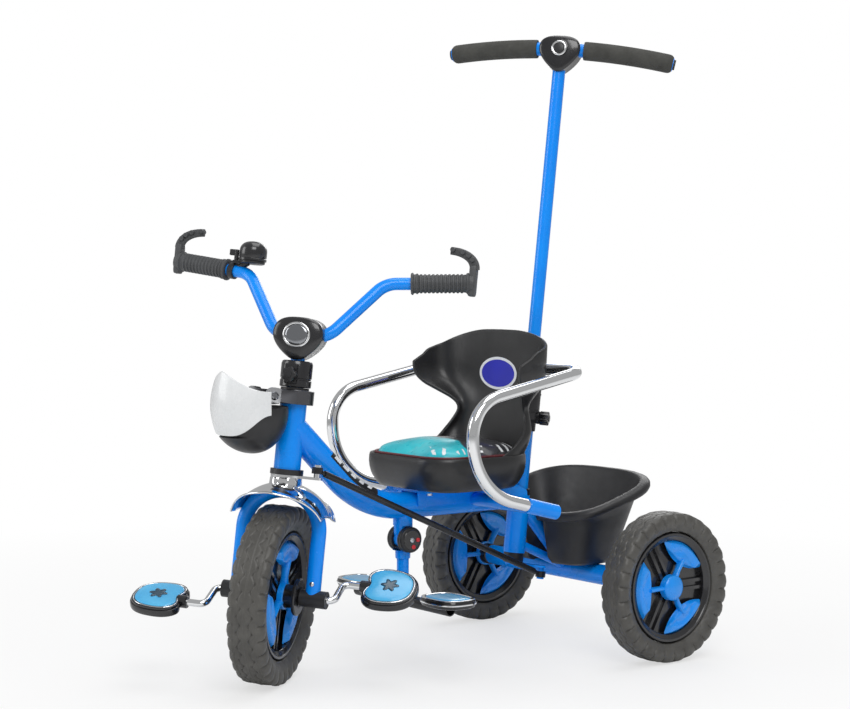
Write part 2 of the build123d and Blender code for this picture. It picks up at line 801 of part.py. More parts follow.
def left_grip_solid():
    """Rubber grip with its flanges and the hooked hand guard at its end."""
    frame = grip_frame()
    body = frame * post(grip_diameter / 2, 0, grip_length + 3)
    for place, radius in ((2, 14.2), (8, 13.2), (grip_length - 4, 13.5)):
        body += frame * post(radius, place - 1.6, place + 1.6)
    x, y, z = bar_points()[3]
    plate = block(x - 3, x + 6, y - 8, y + 8, z - 15.5, z + 11)
    section = Pos(x + 1.5, y, z + 11) * Rectangle(6.5, 13)
    hook = revolve(section, Axis((x + 1.5 - guard_bend, y, z + 11), (0, -1, 0)), 90)
    end = Pos(x + 1.5 - guard_bend, y, z + 11 + guard_bend) * Rot(90, 0, 0) * Cylinder(4.4, 13)
    body += plate + hook + end
    body -= frame * post(bar_diameter / 2 + press_gap, -1, grip_length + seat_gap)
    return largest(body)


def cap_outline():
    w = cap_width / 2
    top = bar_height + 23
    foot = top - cap_height
    outline = Polyline((-17, foot), (17, foot), (w, bar_height - 6), (w, bar_height + 9), (w - 7, top - 2), (0, top + 1),
                       (-w + 7, top - 2), (-w, bar_height + 9), (-w, bar_height - 6), close=True)
    return outline


def cap_bores():
    """Straight drills that clear the bar's middle and the start of its bends."""
    corner, outer = [Vector(*p) for p in bar_points()[1:3]]
    middle = Vector(0, corner.Y, corner.Z)
    arrive = (corner - middle).normalized()
    leave = (outer - corner).normalized()
    half_turn = radians(arrive.get_angle(leave) / 2)
    reach = bar_bend * tan(half_turn)
    inwards = (leave - arrive).normalized()
    crown = corner + inwards * bar_bend * (1 / cos(half_turn) - 1)
    first = corner - arrive * reach
    last = corner + leave * (reach + 10)
    bore = bar_diameter + 2 * seat_gap
    room = bar_diameter + 2 * cap_room + 1
    tools = [rod(bore, middle, first + arrive * 3), rod(room, first, crown + (crown - first).normalized() * 2),
             rod(room, crown, last)]
    return tools + [mirrored(tool) for tool in tools]


def stem_cap():
    """Shield-shaped cover over the middle of the handlebar."""
    face = Plane.XZ * make_face(cap_outline())
    body = extrude(face, amount=cap_depth / 2, both=True)
    body = chamfer(body.faces().sort_by(Axis.Y)[0].edges(), 3)
    for tool in cap_bores():
        body -= tool
    return body - post(stem_post_diameter / 2 + seat_gap, 200, bar_height + 1)


def stem_badge():
    """Plain oval badge with a raised rim."""
    oval = Plane.XZ.offset(cap_depth / 2) * Pos(0, bar_height) * Ellipse(18.5, 16)
    inset = Plane.XZ.offset(cap_depth / 2 + 1.4) * Pos(0, bar_height) * Ellipse(15.5, 13)
    return extrude(oval, amount=2.4) - extrude(inset, amount=4)


def stem_clamp():
    """Clamp that locks the handlebar's post in the steerer, with its split and ears."""
    foot = head_tube_top + upper_bush_flange + joint_gap
    body = post(stem_clamp_diameter / 2, foot, stem_clamp_top)
    body += block(-8, 8, -stem_clamp_diameter / 2 - 3, -10, foot + 4, stem_clamp_top - 4)
    body -= post(steerer_diameter / 2 + press_gap, foot - 1, stem_clamp_top - 4)
    body -= post(stem_post_diameter / 2 + press_gap, foot, stem_clamp_top + 1)
    stud_hole = Pos(0, 0, stem_knob_height) * Rot(90, 0, 0) * post(knob_stud / 2 + running_gap, 10, 40)
    return body - stud_hole


def knob_solid(radius, thickness, lobes, stud):
    """Lobed hand knob on a stud; its foot is at the origin and it stands along Z."""
    body = post(radius - 1.5, 0, thickness) + post(knob_stud / 2, -stud, 1)
    for k in range(lobes):
        body += Rot(0, 0, 360 / lobes * k) * Pos(radius - 3, 0, 0) * post(3, 0, thickness)
    return body




def stem_knob():
    place = Pos(0, -stem_clamp_diameter / 2 - 3 - joint_gap, stem_knob_height) * Rot(90, 0, 0)
    return place * knob_solid(10, 8, 5, 8)


def bell_place():
    return (-90.0, 46.0, bar_height + 89.0)


def bell_clamp():
    """Band round the bar, the bell's base plate and the lever's ear."""
    frame = grip_frame()
    right = Plane(origin=(-frame.origin.X, frame.origin.Y, frame.origin.Z), x_dir=(0, 0, 1),
                  z_dir=(-frame.z_dir.X, frame.z_dir.Y, frame.z_dir.Z))
    band = right * post(bar_diameter / 2 + 3, -11, -3)
    x, y, z = bell_place()
    base = Pos(x, y, z) * (post(bell_radius - 1.5, 0, bell_base) +
                           block(-bell_radius - 9, -10, -5, 5, 0, bell_base))
    neck = rod(9, (x - 6, y, z + 2), right.origin + right.z_dir * -7)
    body = band + base + neck - handlebar_tube(press_gap)
    lever = Pos(*bell_lever_pivot()) * post(lever_pin_radius + running_gap, -bell_base - 1, 1)
    return body - lever


def bell_dome():
    """Plastic bell, hollow below, on its post."""
    x, y, z = bell_place()
    wall = 2.0
    post_radius = 3.0
    r = bell_radius
    outline = Polyline((post_radius, 0), (post_radius, 23), (r - wall, 23), (r - wall, 0), (r, 0), (r, 14), (r - 6, 25),
                       (0, 28), (0, 0), close=True)
    return Pos(x, y, z + bell_base + seat_gap) * revolve(Plane.XZ * make_face(outline), Axis.Z)


def bell_lever_pivot():
    x, y, z = bell_place()
    return (x - bell_radius - 4.5, y, z + bell_base)


def bell_lever():
    """Thumb lever on a pin beside the bell."""
    lever = post(3, seat_gap, 14) + block(-9, 0, -2, 2, 6, 14) + post(lever_pin_radius, -bell_base + 0.5, 1)
    return Pos(*bell_lever_pivot()) * lever


# ---------------------------------------------------------------- cranks and pedals
def crank_points():
    y = crank_radius * cos(radians(crank_angle))
    z = crank_radius * sin(radians(crank_angle))
    reach = pedal_inner + pedal_width - 4
    return [(-reach, -y, -z), (-crank_plane, -y, -z), (-crank_plane, 0, 0), (crank_plane, 0, 0), (crank_plane, y, z),
            (reach, y, z)]


def crank_axle():
    """One bent rod: pedal spindles, cranks and the wheel's axle."""
    return bent_rod(crank_rod, crank_points(), [crank_bend] * 4)


def front_wheel():
    wheel_tyre = tyre(front_wheel_radius, front_tyre_width, front_rim_radius)
    hub = axle_bush_inner - 2.0
    wheel_rim = rim(front_tyre_width, front_rim_radius, -hub, hub, crank_rod, front_first_spoke, flange=23.5)
    face = spider_face(front_rim_radius, spoke_half + seat_gap, 8, front_first_spoke)
    return wheel_tyre, wheel_rim, both_sides(face)


def pedal_outline(shrink):
    """Rounded outline with a notch towards the crank; X across, Y fore and aft."""
    plate = RectangleRounded(pedal_width - 2 * shrink, pedal_length - 2 * shrink, pedal_corner - shrink)
    return plate - Pos(-pedal_width / 2, 0) * Circle(pedal_notch + shrink)


def pedal_body():
    """Pedal with a tunnel for the spindle, flat; its middle is at the origin."""
    half = pedal_thickness / 2
    body = extrude(Plane.XY.offset(-half) * pedal_outline(0), amount=pedal_thickness)
    body -= extrude(Plane.XY.offset(half - 2) * pedal_outline(6), amount=4)
    body += disc(pedal_boss_radius, -pedal_width / 2, -pedal_width / 2 + pedal_boss_length)
    body -= disc(crank_rod / 2 + running_gap, -pedal_width, pedal_width / 2 - 3)
    return largest(body)


def pedal_pad():
    """Soft pad in the pedal's upper face, with a raised six-sided rosette."""
    half = pedal_thickness / 2
    pad = extrude(Plane.XY.offset(half - 2 + 0.0) * pedal_outline(6 + seat_gap), amount=2.6)
    rosette = Plane.XY.offset(half + 0.6) * RegularPolygon(11, 6)
    pad += extrude(rosette, amount=1.2)
    return pad - disc(pedal_boss_radius + seat_gap, -pedal_width, -pedal_width / 2 + pedal_boss_length + seat_gap)


def pedal_place(side):
    y = crank_radius * cos(radians(crank_angle)) * side
    z = crank_radius * sin(radians(crank_angle)) * side
    tilt = left_pedal_tilt if side > 0 else right_pedal_tilt
    middle = side * (pedal_inner + pedal_width / 2)
    return Pos(middle, y, z) * Rot(tilt, 0, 0)


def pedal(side, piece):
    return pedal_place(side) * (piece if side > 0 else mirrored(piece))


# ---------------------------------------------------------------- push pole
def pole_tube():
    """Lower pole in the column, with its steering arm at the foot."""
    tube = post(pole_tube_diameter / 2, 0, pole_tube_top) - post(pole_tube_bore / 2, steering_arm_plate + 3, 400)
    arm = Pos(rod_arm, 0, 0) * post(eye_radius, 0, steering_arm_plate)
    arm += block(0, rod_arm, -eye_radius, eye_radius, 0, steering_arm_plate)
    foot = rod_rear_height() - eye_thickness / 2 - 2.5
    pin = post(pin_diameter / 2, foot, 0) + post(pin_diameter / 2 + 2, foot, foot + 2.5 - joint_gap)
    pin += post(pin_diameter / 2 + 1, -eye_spacer + seat_gap, 0)
    return tube + arm + Pos(rod_arm, 0, 0) * pin


def pole_lock():
    """Clamp sleeve at the top of the lower pole, with the knob's boss."""
    body = post(lock_diameter / 2, lock_foot + 14, lock_top) + post(pole_tube_diameter / 2 + 2.5, lock_foot, lock_foot + 15)
    boss = Pos(0, 0, pole_knob_height()) * disc(9, 5, lock_diameter / 2 + 1.5)
    body += boss
    body -= post(pole_tube_diameter / 2 + press_gap, lock_foot - 1, pole_tube_top)
    body -= post(pole_diameter / 2 + running_gap, lock_foot, lock_top + 1)
    stud_hole = Pos(0, 0, pole_knob_height()) * disc(knob_stud / 2 + running_gap, pole_tube_diameter / 2, 40)
    return body - stud_hole


def pole_knob_height():
    return lock_foot + 19.5


def pole_knob():
    place = Pos(lock_diameter / 2 + 1.5 + joint_gap, 0, pole_knob_height()) * Rot(0, 90, 0)
    return place * knob_solid(9.5, 13, 6, 7)





def handle_tube(diameter, reach):
    """Bar of the handle: two drooping arms with a gentle bend between them, out to a reach on both sides."""
    share = reach / handle_half_width
    end = (reach, handle_sweep * share, handle_height - handle_droop * share)
    return bent_rod(diameter, [(-end[0], end[1], end[2]), (0, 0, handle_height), end], [handle_bend])


def handle_arms(diameter):
    """The two arms alone, straight and a little past the middle."""
    arm_end = Vector(handle_half_width, handle_sweep, -handle_droop)
    apex = Vector(0, 0, handle_height)
    arm = rod(diameter, apex - arm_end * 0.02, apex + arm_end * 1.1)
    return arm + mirrored(arm)


def push_pole():
    """Sliding pole with the cross bar of the handle."""
    body = handle_tube(handle_bar_diameter, handle_half_width - grip_end_wall)
    body += post(pole_diameter / 2, pole_foot_end, handle_height)
    return body - post(pole_diameter / 2 - tube_wall, 0, handle_height - handle_bar_diameter / 2)


cap_half_width = 29.0


def handle_cap():
    """Cover over the joint of pole and cross bar."""
    w = cap_half_width
    top = handle_height + 18
    outline = Polyline((-13, handle_height - 32), (13, handle_height - 32), (w, handle_height - 10),
                       (w, handle_height + 10), (w - 8, top - 2), (0, top), (-w + 8, top - 2), (-w, handle_height + 10),
                       (-w, handle_height - 10), close=True)
    body = extrude(Plane.XZ * make_face(outline), amount=16, both=True)
    body = chamfer(body.faces().sort_by(Axis.Y)[0].edges(), 3)
    body -= handle_arms(handle_bar_diameter + 2 * cap_room)
    return body - post(pole_diameter / 2 + seat_gap, 0, handle_height + 1)


def handle_grips():
    """Foam sleeves over the ends of the cross bar."""
    tube = handle_tube(handle_grip_diameter, handle_half_width)
    tube -= handle_tube(handle_bar_diameter + 2 * press_gap, handle_half_width - grip_end_wall + seat_gap)
    left = tube - block(-400, cap_half_width + 4, -60, 60, handle_height - 60, handle_height + 60)
    return both_sides(largest(left))


def steering_rod():
    """Tie rod between the two arms, an eye at each end."""
    front = steering_frame * Pos(rod_arm, 0, rod_front_height())
    rear = pole_frame * Pos(rod_arm, 0, rod_rear_height())
    a = front.position
    b = rear.position
    bar = rod(rod_diameter, a, b)
    flat = eye_thickness / 2
    front_eye = front * (post(eye_radius + 5, -30, 30))
    rear_eye = rear * (post(eye_radius + 5, -30, 30))
    bar = largest(bar - front_eye - rear_eye)
    for place, other in ((front, b), (rear, a)):
        towards = (other - place.position).normalized()
        neck = rod(pin_diameter - 0.8, place.position, place.position + towards * (eye_radius + 9))
        bar += neck + place * post(eye_radius, -flat, flat)
    hole = pin_diameter / 2 + running_gap
    bar -= front * post(hole, -30, 30)
    return bar - rear * post(hole, -30, 30)


# ---------------------------------------------------------------- footrest
tongue_half = 6.0
drum_half = 16.5
drum_middle = 3.5


def footrest_bracket():
    """Blue stub under the main tube, with the tongue and pin of the fold."""
    stub = Pos(0, footrest_y, 0) * post(13, footrest_pivot + 6, main_tube_height)
    stub -= main_tube_outline()
    stub = min(stub.solids(), key=lambda s: s.center().Z)
    stub &= block(drum_middle - tongue_half, drum_middle + tongue_half, footrest_y - 13, footrest_y + 13, 0, 300) + \
        block(-40, 40, footrest_y - 40, footrest_y + 40, footrest_pivot + footrest_drum_radius + 1, 400)
    place = Pos(0, footrest_y, footrest_pivot)
    tongue = place * disc(13, drum_middle - tongue_half, drum_middle + tongue_half)
    pin = place * disc(4, drum_middle - drum_half + 2, drum_middle + drum_half - 2)
    return stub + tongue + pin


def footrest_drum():
    """Black clevis that turns on the pin, open at the top for the tongue."""
    place = Pos(0, footrest_y, footrest_pivot)
    body = place * disc(footrest_drum_radius, drum_middle - drum_half, drum_middle + drum_half)
    body += Pos(0, footrest_y, 0) * post(footrest_post_diameter / 2 + 2, footrest_pivot - 26, footrest_pivot - 12)
    gap = place * disc(13 + joint_gap, drum_middle - tongue_half - joint_gap, drum_middle + tongue_half + joint_gap)
    # the tongue's stem sweeps this room as the footrest folds
    room = block(drum_middle - tongue_half - joint_gap, drum_middle + tongue_half + joint_gap, -40, 40, 0, 40)
    for turn in (0, -20, -40, -60):
        gap += place * (Rot(turn, 0, 0) * (room & block(-40, 40, -13.5, 13.5, 0, 40)))
    body -= gap
    body -= place * disc(4 + running_gap, drum_middle - drum_half + 1, drum_middle + drum_half - 1)
    body -= Pos(0, footrest_y, 0) * post(footrest_post_diameter / 2, 0, footrest_pivot - 22)
    return largest(body)


def footrest_post():
    """Post and cross tube that carry the two foot pads."""
    stem = Pos(0, footrest_y, 0) * post(footrest_post_diameter / 2, footrest_bar_height, footrest_pivot - 22)
    half = footrest_pad_x + 8
    place = Pos(0, footrest_y, footrest_bar_height)
    bar = place * disc(footrest_post_diameter / 2, -half, half)
    return stem + bar - place * disc(footrest_post_diameter / 2 - tube_wall, -half - 1, half + 1)


def footrest_pad_solid():
    top = footrest_bar_height + footrest_post_diameter / 2
    outline = Pos(footrest_pad_x, footrest_y + 2) * RectangleRounded(footrest_pad_width, footrest_pad_length, 18)
    body = extrude(Plane.XY.offset(top - 4) * outline, amount=11)
    inset = Pos(footrest_pad_x, footrest_y + 2) * RectangleRounded(footrest_pad_width - 12, footrest_pad_length - 12, 13)
    body -= extrude(Plane.XY.offset(top + 5) * inset, amount=4)
    bar = Pos(0, footrest_y, footrest_bar_height) * disc(footrest_post_diameter / 2, -150, 150)
    return body - bar


def footrest_insert_solid():
    top = footrest_bar_height + footrest_post_diameter / 2
    inset = Pos(footrest_pad_x, footrest_y + 2) * RectangleRounded(footrest_pad_width - 12 - 2 * seat_gap,
                                                                   footrest_pad_length - 12 - 2 * seat_gap, 12.7)
    return extrude(Plane.XY.offset(top + 5) * inset, amount=3)


# ---------------------------------------------------------------- lamp
band_foot = head_tube_top - 18.0
lamp_arm = 54.0
lamp_screw_place = Pos(0, 8 - lamp_arm, head_tube_top - 10)


def lamp_bracket():
    """Band on the head tube with two arms forward."""
    body = post(25, band_foot, head_tube_top)
    for side in (-1, 1):
        body += block(min(side * 19, side * 25), max(side * 19, side * 25), -lamp_arm, 0, band_foot, head_tube_top - 2)
    body -= post(head_tube_diameter / 2 + press_gap, band_foot - 1, head_tube_top + 1)
    body -= lamp_screw_place * disc(screw_radius + press_gap, -40, 40)
    return chassis_steering * body


def lamp_side(grow):
    """Side outline: the lens bulges ahead over a shallow bowl, open at the top; grow moves it out."""
    lens_arc = ThreePointArc(lamp_peak, lamp_front, lamp_chin)
    bowl_arc = ThreePointArc(lamp_chin, lamp_keel, lamp_back)
    closing = Polyline(lamp_back, (lamp_back[0], lamp_roof), (lamp_peak[0], lamp_roof), lamp_peak)
    return offset(make_face(lens_arc + bowl_arc + closing), grow) if grow else make_face(lens_arc + bowl_arc + closing)


def lamp_form(grow):
    """Round in plan and shaped by the side outline."""
    plan = Pos(0, lamp_middle, 0) * post(lamp_radius + grow, 0, lamp_roof - 20)
    return plan & extrude(Plane.YZ * lamp_side(grow), amount=2 * lamp_radius, both=True)


def lens_window(grow, back):
    """Room in front of the seam, inside the lens's outline as seen from the front."""
    x = lamp_half_width
    middle = (lamp_side_top + lamp_side_foot) / 2
    top = ThreePointArc((x, lamp_side_top + grow), (0, lamp_peak[1] + grow), (-x, lamp_side_top + grow))
    foot = ThreePointArc((-x, lamp_side_foot - grow), (0, lamp_chin[1] - grow), (x, lamp_side_foot - grow))
    wide = lamp_radius + 5
    outline = make_face(top + foot + Line(top @ 1, foot @ 0) + Line(foot @ 1, top @ 0))
    outline += Pos(0, middle) * Rectangle(2 * wide, lamp_side_top - lamp_side_foot + 2 * grow)
    return Pos(0, back, 0) * extrude(Plane.XZ * outline, amount=150)


def lamp_bucket():
    """Black lamp bowl, open in front where the lens closes it."""
    body = lamp_form(0) - lamp_form(-lamp_wall)
    body &= block(-80, 80, -150, 0, 0, lamp_side_top)
    body -= lens_window(seat_gap, lamp_seam + seat_gap)
    body -= post(head_tube_diameter / 2 + seat_gap, 100, 300)
    body -= post(25 + seat_gap, band_foot - seat_gap, 300)
    for side in (-1, 1):
        x0, x1 = sorted((side * (19 - seat_gap), side * (25 + seat_gap)))
        body -= block(x0, x1, -lamp_arm - seat_gap, 10, band_foot - seat_gap, 300)
    return chassis_steering * largest(body)


def lamp_lens():
    """White lens that closes the bowl."""
    body = (lamp_form(0) - lamp_form(-lens_wall)) & lens_window(0, lamp_seam)
    return chassis_steering * largest(body)


def lamp_screws():
    screw = disc(screw_radius, 15, 26) + disc(2 * screw_radius, 25 + seat_gap, 28)
    return [chassis_steering * lamp_screw_place * piece for piece in both_sides(screw)]


# ---------------------------------------------------------------- assembly
def in_steering(pieces):
    return [steering_frame * piece for piece in as_solids(pieces)]


def in_pole(pieces):
    return [pole_frame * piece for piece in as_solids(pieces)]


def build():
    """Every node and its solids, in the chassis frame."""
    nodes = {}
    nodes["head_tube"] = head_tube()
    nodes["headset_bushes"] = headset_bushes()
    nodes["main_tube"] = main_tube()
    nodes["pole_column"] = pole_column()
    nodes["column_bushes"] = column_bushes()
    nodes["frame_brace"] = frame_brace()
    nodes["axle_beam"] = axle_beam()
    nodes["rear_axle_bushes"] = rear_axle_bushes()
    nodes["rear_axle"] = rear_axle()
    nodes["rail_sockets"] = rail_sockets()
    nodes["guard_rail"] = guard_rail()
    nodes["seat_bracket"] = seat_bracket()
    nodes["seat_screws"] = seat_screws()
    nodes["seat_shell"] = seat_shell()
    nodes["seat_cushion"] = seat_cushion()
    nodes["basket"] = basket()
    nodes["basket_screws"] = basket_screws()
    nodes["lamp_bracket"] = lamp_bracket()
    nodes["lamp_bucket"] = lamp_bucket()
    nodes["lamp_lens"] = lamp_lens()
    nodes["lamp_screws"] = lamp_screws()
    nodes["footrest_bracket"] = footrest_bracket()
    nodes["footrest_drum"] = footrest_drum()
    nodes["footrest_post"] = footrest_post()
    nodes["footrest_pads"] = both_sides(footrest_pad_solid())
    nodes["footrest_inserts"] = both_sides(footrest_insert_solid())

    wheel_tyre, wheel_rim, wheel_spider = rear_wheel()
    for name, side in (("left", 1), ("right", -1)):
        nodes[name + "_rear_tyre"] = place_rear(wheel_tyre, side)
        nodes[name + "_rear_rim"] = place_rear(wheel_rim, side)
        nodes[name + "_rear_spider"] = [place_rear(piece, side) for piece in wheel_spider]

    nodes["fork"] = in_steering(fork())
    nodes["axle_bushes"] = in_steering(axle_bushes())
    nodes["front_mudguard"] = in_steering(front_mudguard())
    nodes["steering_arm"] = in_steering(steering_arm())
    nodes["handlebar"] = in_steering(handlebar())
    nodes["handlebar_grips"] = in_steering(both_sides(left_grip_solid()))
    nodes["stem_cap"] = in_steering(stem_cap())
    nodes["stem_badge"] = in_steering(stem_badge())
    nodes["stem_clamp"] = in_steering(stem_clamp())
    nodes["stem_knob"] = in_steering(stem_knob())
    nodes["bell_clamp"] = in_steering(bell_clamp())
    nodes["bell_dome"] = in_steering(bell_dome())
    nodes["bell_lever"] = in_steering(bell_lever())

    front_tyre, front_rim, front_spider = front_wheel()
    nodes["front_tyre"] = in_steering(front_tyre)
    nodes["front_rim"] = in_steering(front_rim)
    nodes["front_spider"] = in_steering(front_spider)
    nodes["crank_axle"] = in_steering(crank_axle())
    body = pedal_body()
    pad = pedal_pad()
    for name, side in (("left", 1), ("right", -1)):
        nodes[name + "_pedal"] = in_steering(pedal(side, body))
        nodes[name + "_pedal_pad"] = in_steering(pedal(side, pad))

    nodes["steering_rod"] = steering_rod()
    nodes["pole_tube"] = in_pole(pole_tube())
    nodes["pole_lock"] = in_pole(pole_lock())
    nodes["pole_knob"] = in_pole(pole_knob())
    nodes["push_pole"] = in_pole(push_pole())
    nodes["handle_cap"] = in_pole(handle_cap())
    nodes["handle_grips"] = in_pole(handle_grips())
    return {name: as_solids(pieces) for name, pieces in nodes.items()}


nodes = build()
whole = Compound([piece for pieces in nodes.values() for piece in pieces]).bounding_box()
# moves the model from the chassis frame to its own origin
to_origin = Vector(-(whole.min.X + whole.max.X) / 2, -(whole.min.Y + whole.max.Y) / 2, -whole.min.Z)

if __name__ == "__main__":
    os.makedirs("parts", exist_ok=True)
    for name, pieces in nodes.items():
        moved = [Pos(to_origin) * piece for piece in pieces]
        shape = moved[0] if len(moved) == 1 else Compound(moved)
        export_step(shape, f"parts/{name}.step")
        print(f"{name}: {len(moved)} solids, {sum(p.volume for p in moved):.0f} mm3")
    print("to_origin", to_origin)
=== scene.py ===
"""Looks of the children's tricycle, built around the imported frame.

Lengths are millimetres in local frames, and a matrix takes each frame's millimetres to the model:
  chassis_place   on the floor under the middle of the rear axle, +Z up, the tricycle faces -Y
  steering_place  at the front hub, Z up along the steering axis, X along the front axle to the rider's left
  head_place      the same, as it is when the front wheel points straight ahead
  pole_place      at the foot of the push pole, Z up along the pole, X along the handle
  rear_place      at each rear wheel's hub, X along the axle
"""
import json
from math import acos, atan2, cos, exp, pi, radians, sin, sqrt, tan

import bmesh
import bpy
from mathutils import Matrix, Vector


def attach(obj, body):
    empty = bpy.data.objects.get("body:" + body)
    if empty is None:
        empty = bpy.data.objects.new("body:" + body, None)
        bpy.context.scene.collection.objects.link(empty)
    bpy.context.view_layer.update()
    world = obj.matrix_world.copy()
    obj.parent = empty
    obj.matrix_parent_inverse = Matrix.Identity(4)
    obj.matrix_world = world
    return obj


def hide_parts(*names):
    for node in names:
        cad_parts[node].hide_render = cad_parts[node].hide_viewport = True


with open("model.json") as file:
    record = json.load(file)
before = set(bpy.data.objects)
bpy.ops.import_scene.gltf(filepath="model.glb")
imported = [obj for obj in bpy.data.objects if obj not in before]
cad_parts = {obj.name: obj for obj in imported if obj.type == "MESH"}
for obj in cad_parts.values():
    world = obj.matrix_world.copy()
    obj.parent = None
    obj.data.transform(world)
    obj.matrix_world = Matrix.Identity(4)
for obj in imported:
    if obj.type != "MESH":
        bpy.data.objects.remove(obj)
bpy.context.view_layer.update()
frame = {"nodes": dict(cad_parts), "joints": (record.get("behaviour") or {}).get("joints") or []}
MM = 0.001
TURN = 2 * pi
REST_STEER = 38.7        # degrees between the rest position and straight ahead
POLE_JOINT_HEIGHT = 50   # of the push pole's turning joint, above the pole's foot

# ---------------------------------------------------------------- local frames
joints = {joint["name"]: joint for joint in frame["joints"]}


def local_frame(origin, side, up):
    """Matrix from local millimetres to the model, from the directions of its X and Z."""
    x = Vector(side).normalized()
    z = Vector(up).normalized()
    y = z.cross(x)
    rotation = Matrix((x, y, z)).transposed().to_4x4()
    return Matrix.Translation(origin) @ rotation @ Matrix.Scale(MM, 4)


def joint_place(name):
    return Vector(joints[name]["pos_m"])


def joint_axis(name):
    return Vector(joints[name]["axis"]).normalized()


rear_hub = {side: joint_place(side + "_rear_wheel_spin") for side in ("left", "right")}
rear_middle = (rear_hub["left"] + rear_hub["right"]) / 2
chassis_place = local_frame((0, rear_middle.y, 0), (1, 0, 0), (0, 0, 1))
steering_place = local_frame(joint_place("front_wheel_spin"), joint_axis("front_wheel_spin"),
                             joint_axis("steering_turn"))
pole_up = joint_axis("push_pole_turn")
pole_foot = joint_place("push_pole_turn") - POLE_JOINT_HEIGHT * MM * pole_up
pole_place = local_frame(pole_foot, joint_axis("pole_knob_turn"), pole_up)
rear_place = {"left": local_frame(rear_hub["left"], (1, 0, 0), (0, 0, 1)),
              "right": local_frame(rear_hub["right"], (-1, 0, 0), (0, 0, 1))}
head_place = steering_place @ Matrix.Rotation(-radians(REST_STEER), 4, "Z")

# local frame and body of the pieces on the frame, the steering and the push handle
on_frame = (chassis_place, "frame")
on_steering = (steering_place, "steering")
on_handle = (pole_place, "push_handle")


def turned(axis, angle):
    """Turn about a local axis, in degrees."""
    return Matrix.Rotation(radians(angle), 4, axis)


def moved(x, y, z):
    return Matrix.Translation((x, y, z))


MIRROR = Matrix.Scale(-1, 4, (1, 0, 0))

# ---------------------------------------------------------------- materials
AZURE = (0.0, 0.29, 0.98, 1)
DEEP_AZURE = (0.0, 0.24, 0.90, 1)
BLACK = (0.012, 0.012, 0.014, 1)


class Shader:
    """Node tree of one material, with short names for what the materials below need."""

    def __init__(self, name):
        self.material = bpy.data.materials.new(name)
        self.material.use_nodes = True
        self.nodes = self.material.node_tree.nodes
        self.links = self.material.node_tree.links
        self.main = self.nodes["Principled BSDF"]
        self.place = self.add("ShaderNodeTexCoord").outputs["Object"]

    def add(self, kind, **settings):
        node = self.nodes.new(kind)
        for key, value in settings.items():
            if key in node.inputs.keys():
                node.inputs[key].default_value = value
            else:
                setattr(node, key, value)
        return node

    def link(self, output, node, socket):
        self.links.new(output, node.inputs[socket])

    def surface(self, **sockets):
        for key, value in sockets.items():
            self.main.inputs[key.replace("_", " ").title().replace("Ior", "IOR")].default_value = value

    def noise(self, scale, detail=3.0, roughness=0.5):
        node = self.add("ShaderNodeTexNoise", Scale=scale, Detail=detail, Roughness=roughness)
        self.link(self.place, node, "Vector")
        return node.outputs["Fac"]

    def spread(self, value, low, high, to_low=0.0, to_high=1.0):
        node = self.add("ShaderNodeMapRange")
        self.link(value, node, "Value")
        node.inputs["From Min"].default_value = low
        node.inputs["From Max"].default_value = high
        node.inputs["To Min"].default_value = to_low
        node.inputs["To Max"].default_value = to_high
        return node.outputs["Result"]

    def mix(self, factor, first, second):
        node = self.add("ShaderNodeMix", data_type="RGBA")
        self.links.new(factor, node.inputs["Factor"])
        for socket, colour in (("A", first), ("B", second)):
            target = [s for s in node.inputs if s.name == socket and s.type == "RGBA"][0]
            if isinstance(colour, tuple):
                target.default_value = colour
            else:
                self.links.new(colour, target)
        return [s for s in node.outputs if s.type == "RGBA"][0]

    def product(self, first, second):
        node = self.add("ShaderNodeMath", operation="MULTIPLY")
        self.links.new(first, node.inputs[0])
        self.links.new(second, node.inputs[1])
        return node.outputs[0]

    def colour(self, output):
        self.link(output, self.main, "Base Color")

    def rough(self, output):
        self.link(output, self.main, "Roughness")

    def bump(self, height, strength, distance_mm):
        node = self.add("ShaderNodeBump", Strength=strength, Distance=distance_mm * MM)
        self.link(height, node, "Height")
        self.link(node.outputs["Normal"], self.main, "Normal")


def painted(name, colour, shade):
    """Gloss enamel over steel: faint orange peel and slow colour variation."""
    s = Shader(name)
    s.colour(s.mix(s.spread(s.noise(14), 0.35, 0.7), colour, shade))
    s.rough(s.spread(s.noise(60, 4), 0.3, 0.7, 0.20, 0.30))
    s.surface(coat_weight=0.2, coat_roughness=0.06, specular_ior_level=0.3)
    s.bump(s.noise(700, 2), 0.05, 0.15)
    return s.material


def moulded(name, colour, shade, rough_low, rough_high, grain, grain_depth, coat=0.0):
    """Moulded plastic: fine spark-eroded grain and mild scuffs."""
    s = Shader(name)
    s.colour(s.mix(s.spread(s.noise(25, 5), 0.35, 0.7), colour, shade))
    s.rough(s.spread(s.noise(90, 5, 0.6), 0.3, 0.7, rough_low, rough_high))
    if coat:
        s.surface(coat_weight=coat, coat_roughness=0.12)
    s.bump(s.noise(grain, 3, 0.6), 0.35, grain_depth)
    return s.material


def plated(name, colour, rough_low, rough_high):
    """Bright plating with slight clouding."""
    s = Shader(name)
    s.main.inputs["Base Color"].default_value = colour
    s.surface(metallic=1.0)
    s.rough(s.spread(s.noise(40, 5, 0.6), 0.3, 0.8, rough_low, rough_high))
    s.bump(s.noise(180, 2), 0.03, 0.2)
    return s.material


def foam(name, colour, shade, rough_low, rough_high, cell):
    """Closed-cell foam: small pits and a dusty bloom."""
    s = Shader(name)
    s.colour(s.mix(s.spread(s.noise(45, 6, 0.65), 0.35, 0.7), colour, shade))
    s.rough(s.spread(s.noise(120, 5), 0.3, 0.7, rough_low, rough_high))
    pits = s.add("ShaderNodeTexVoronoi", Scale=cell)
    s.link(s.place, pits, "Vector")
    s.bump(s.spread(pits.outputs["Distance"], 0.0, 0.5), 0.35, 0.25)
    return s.material


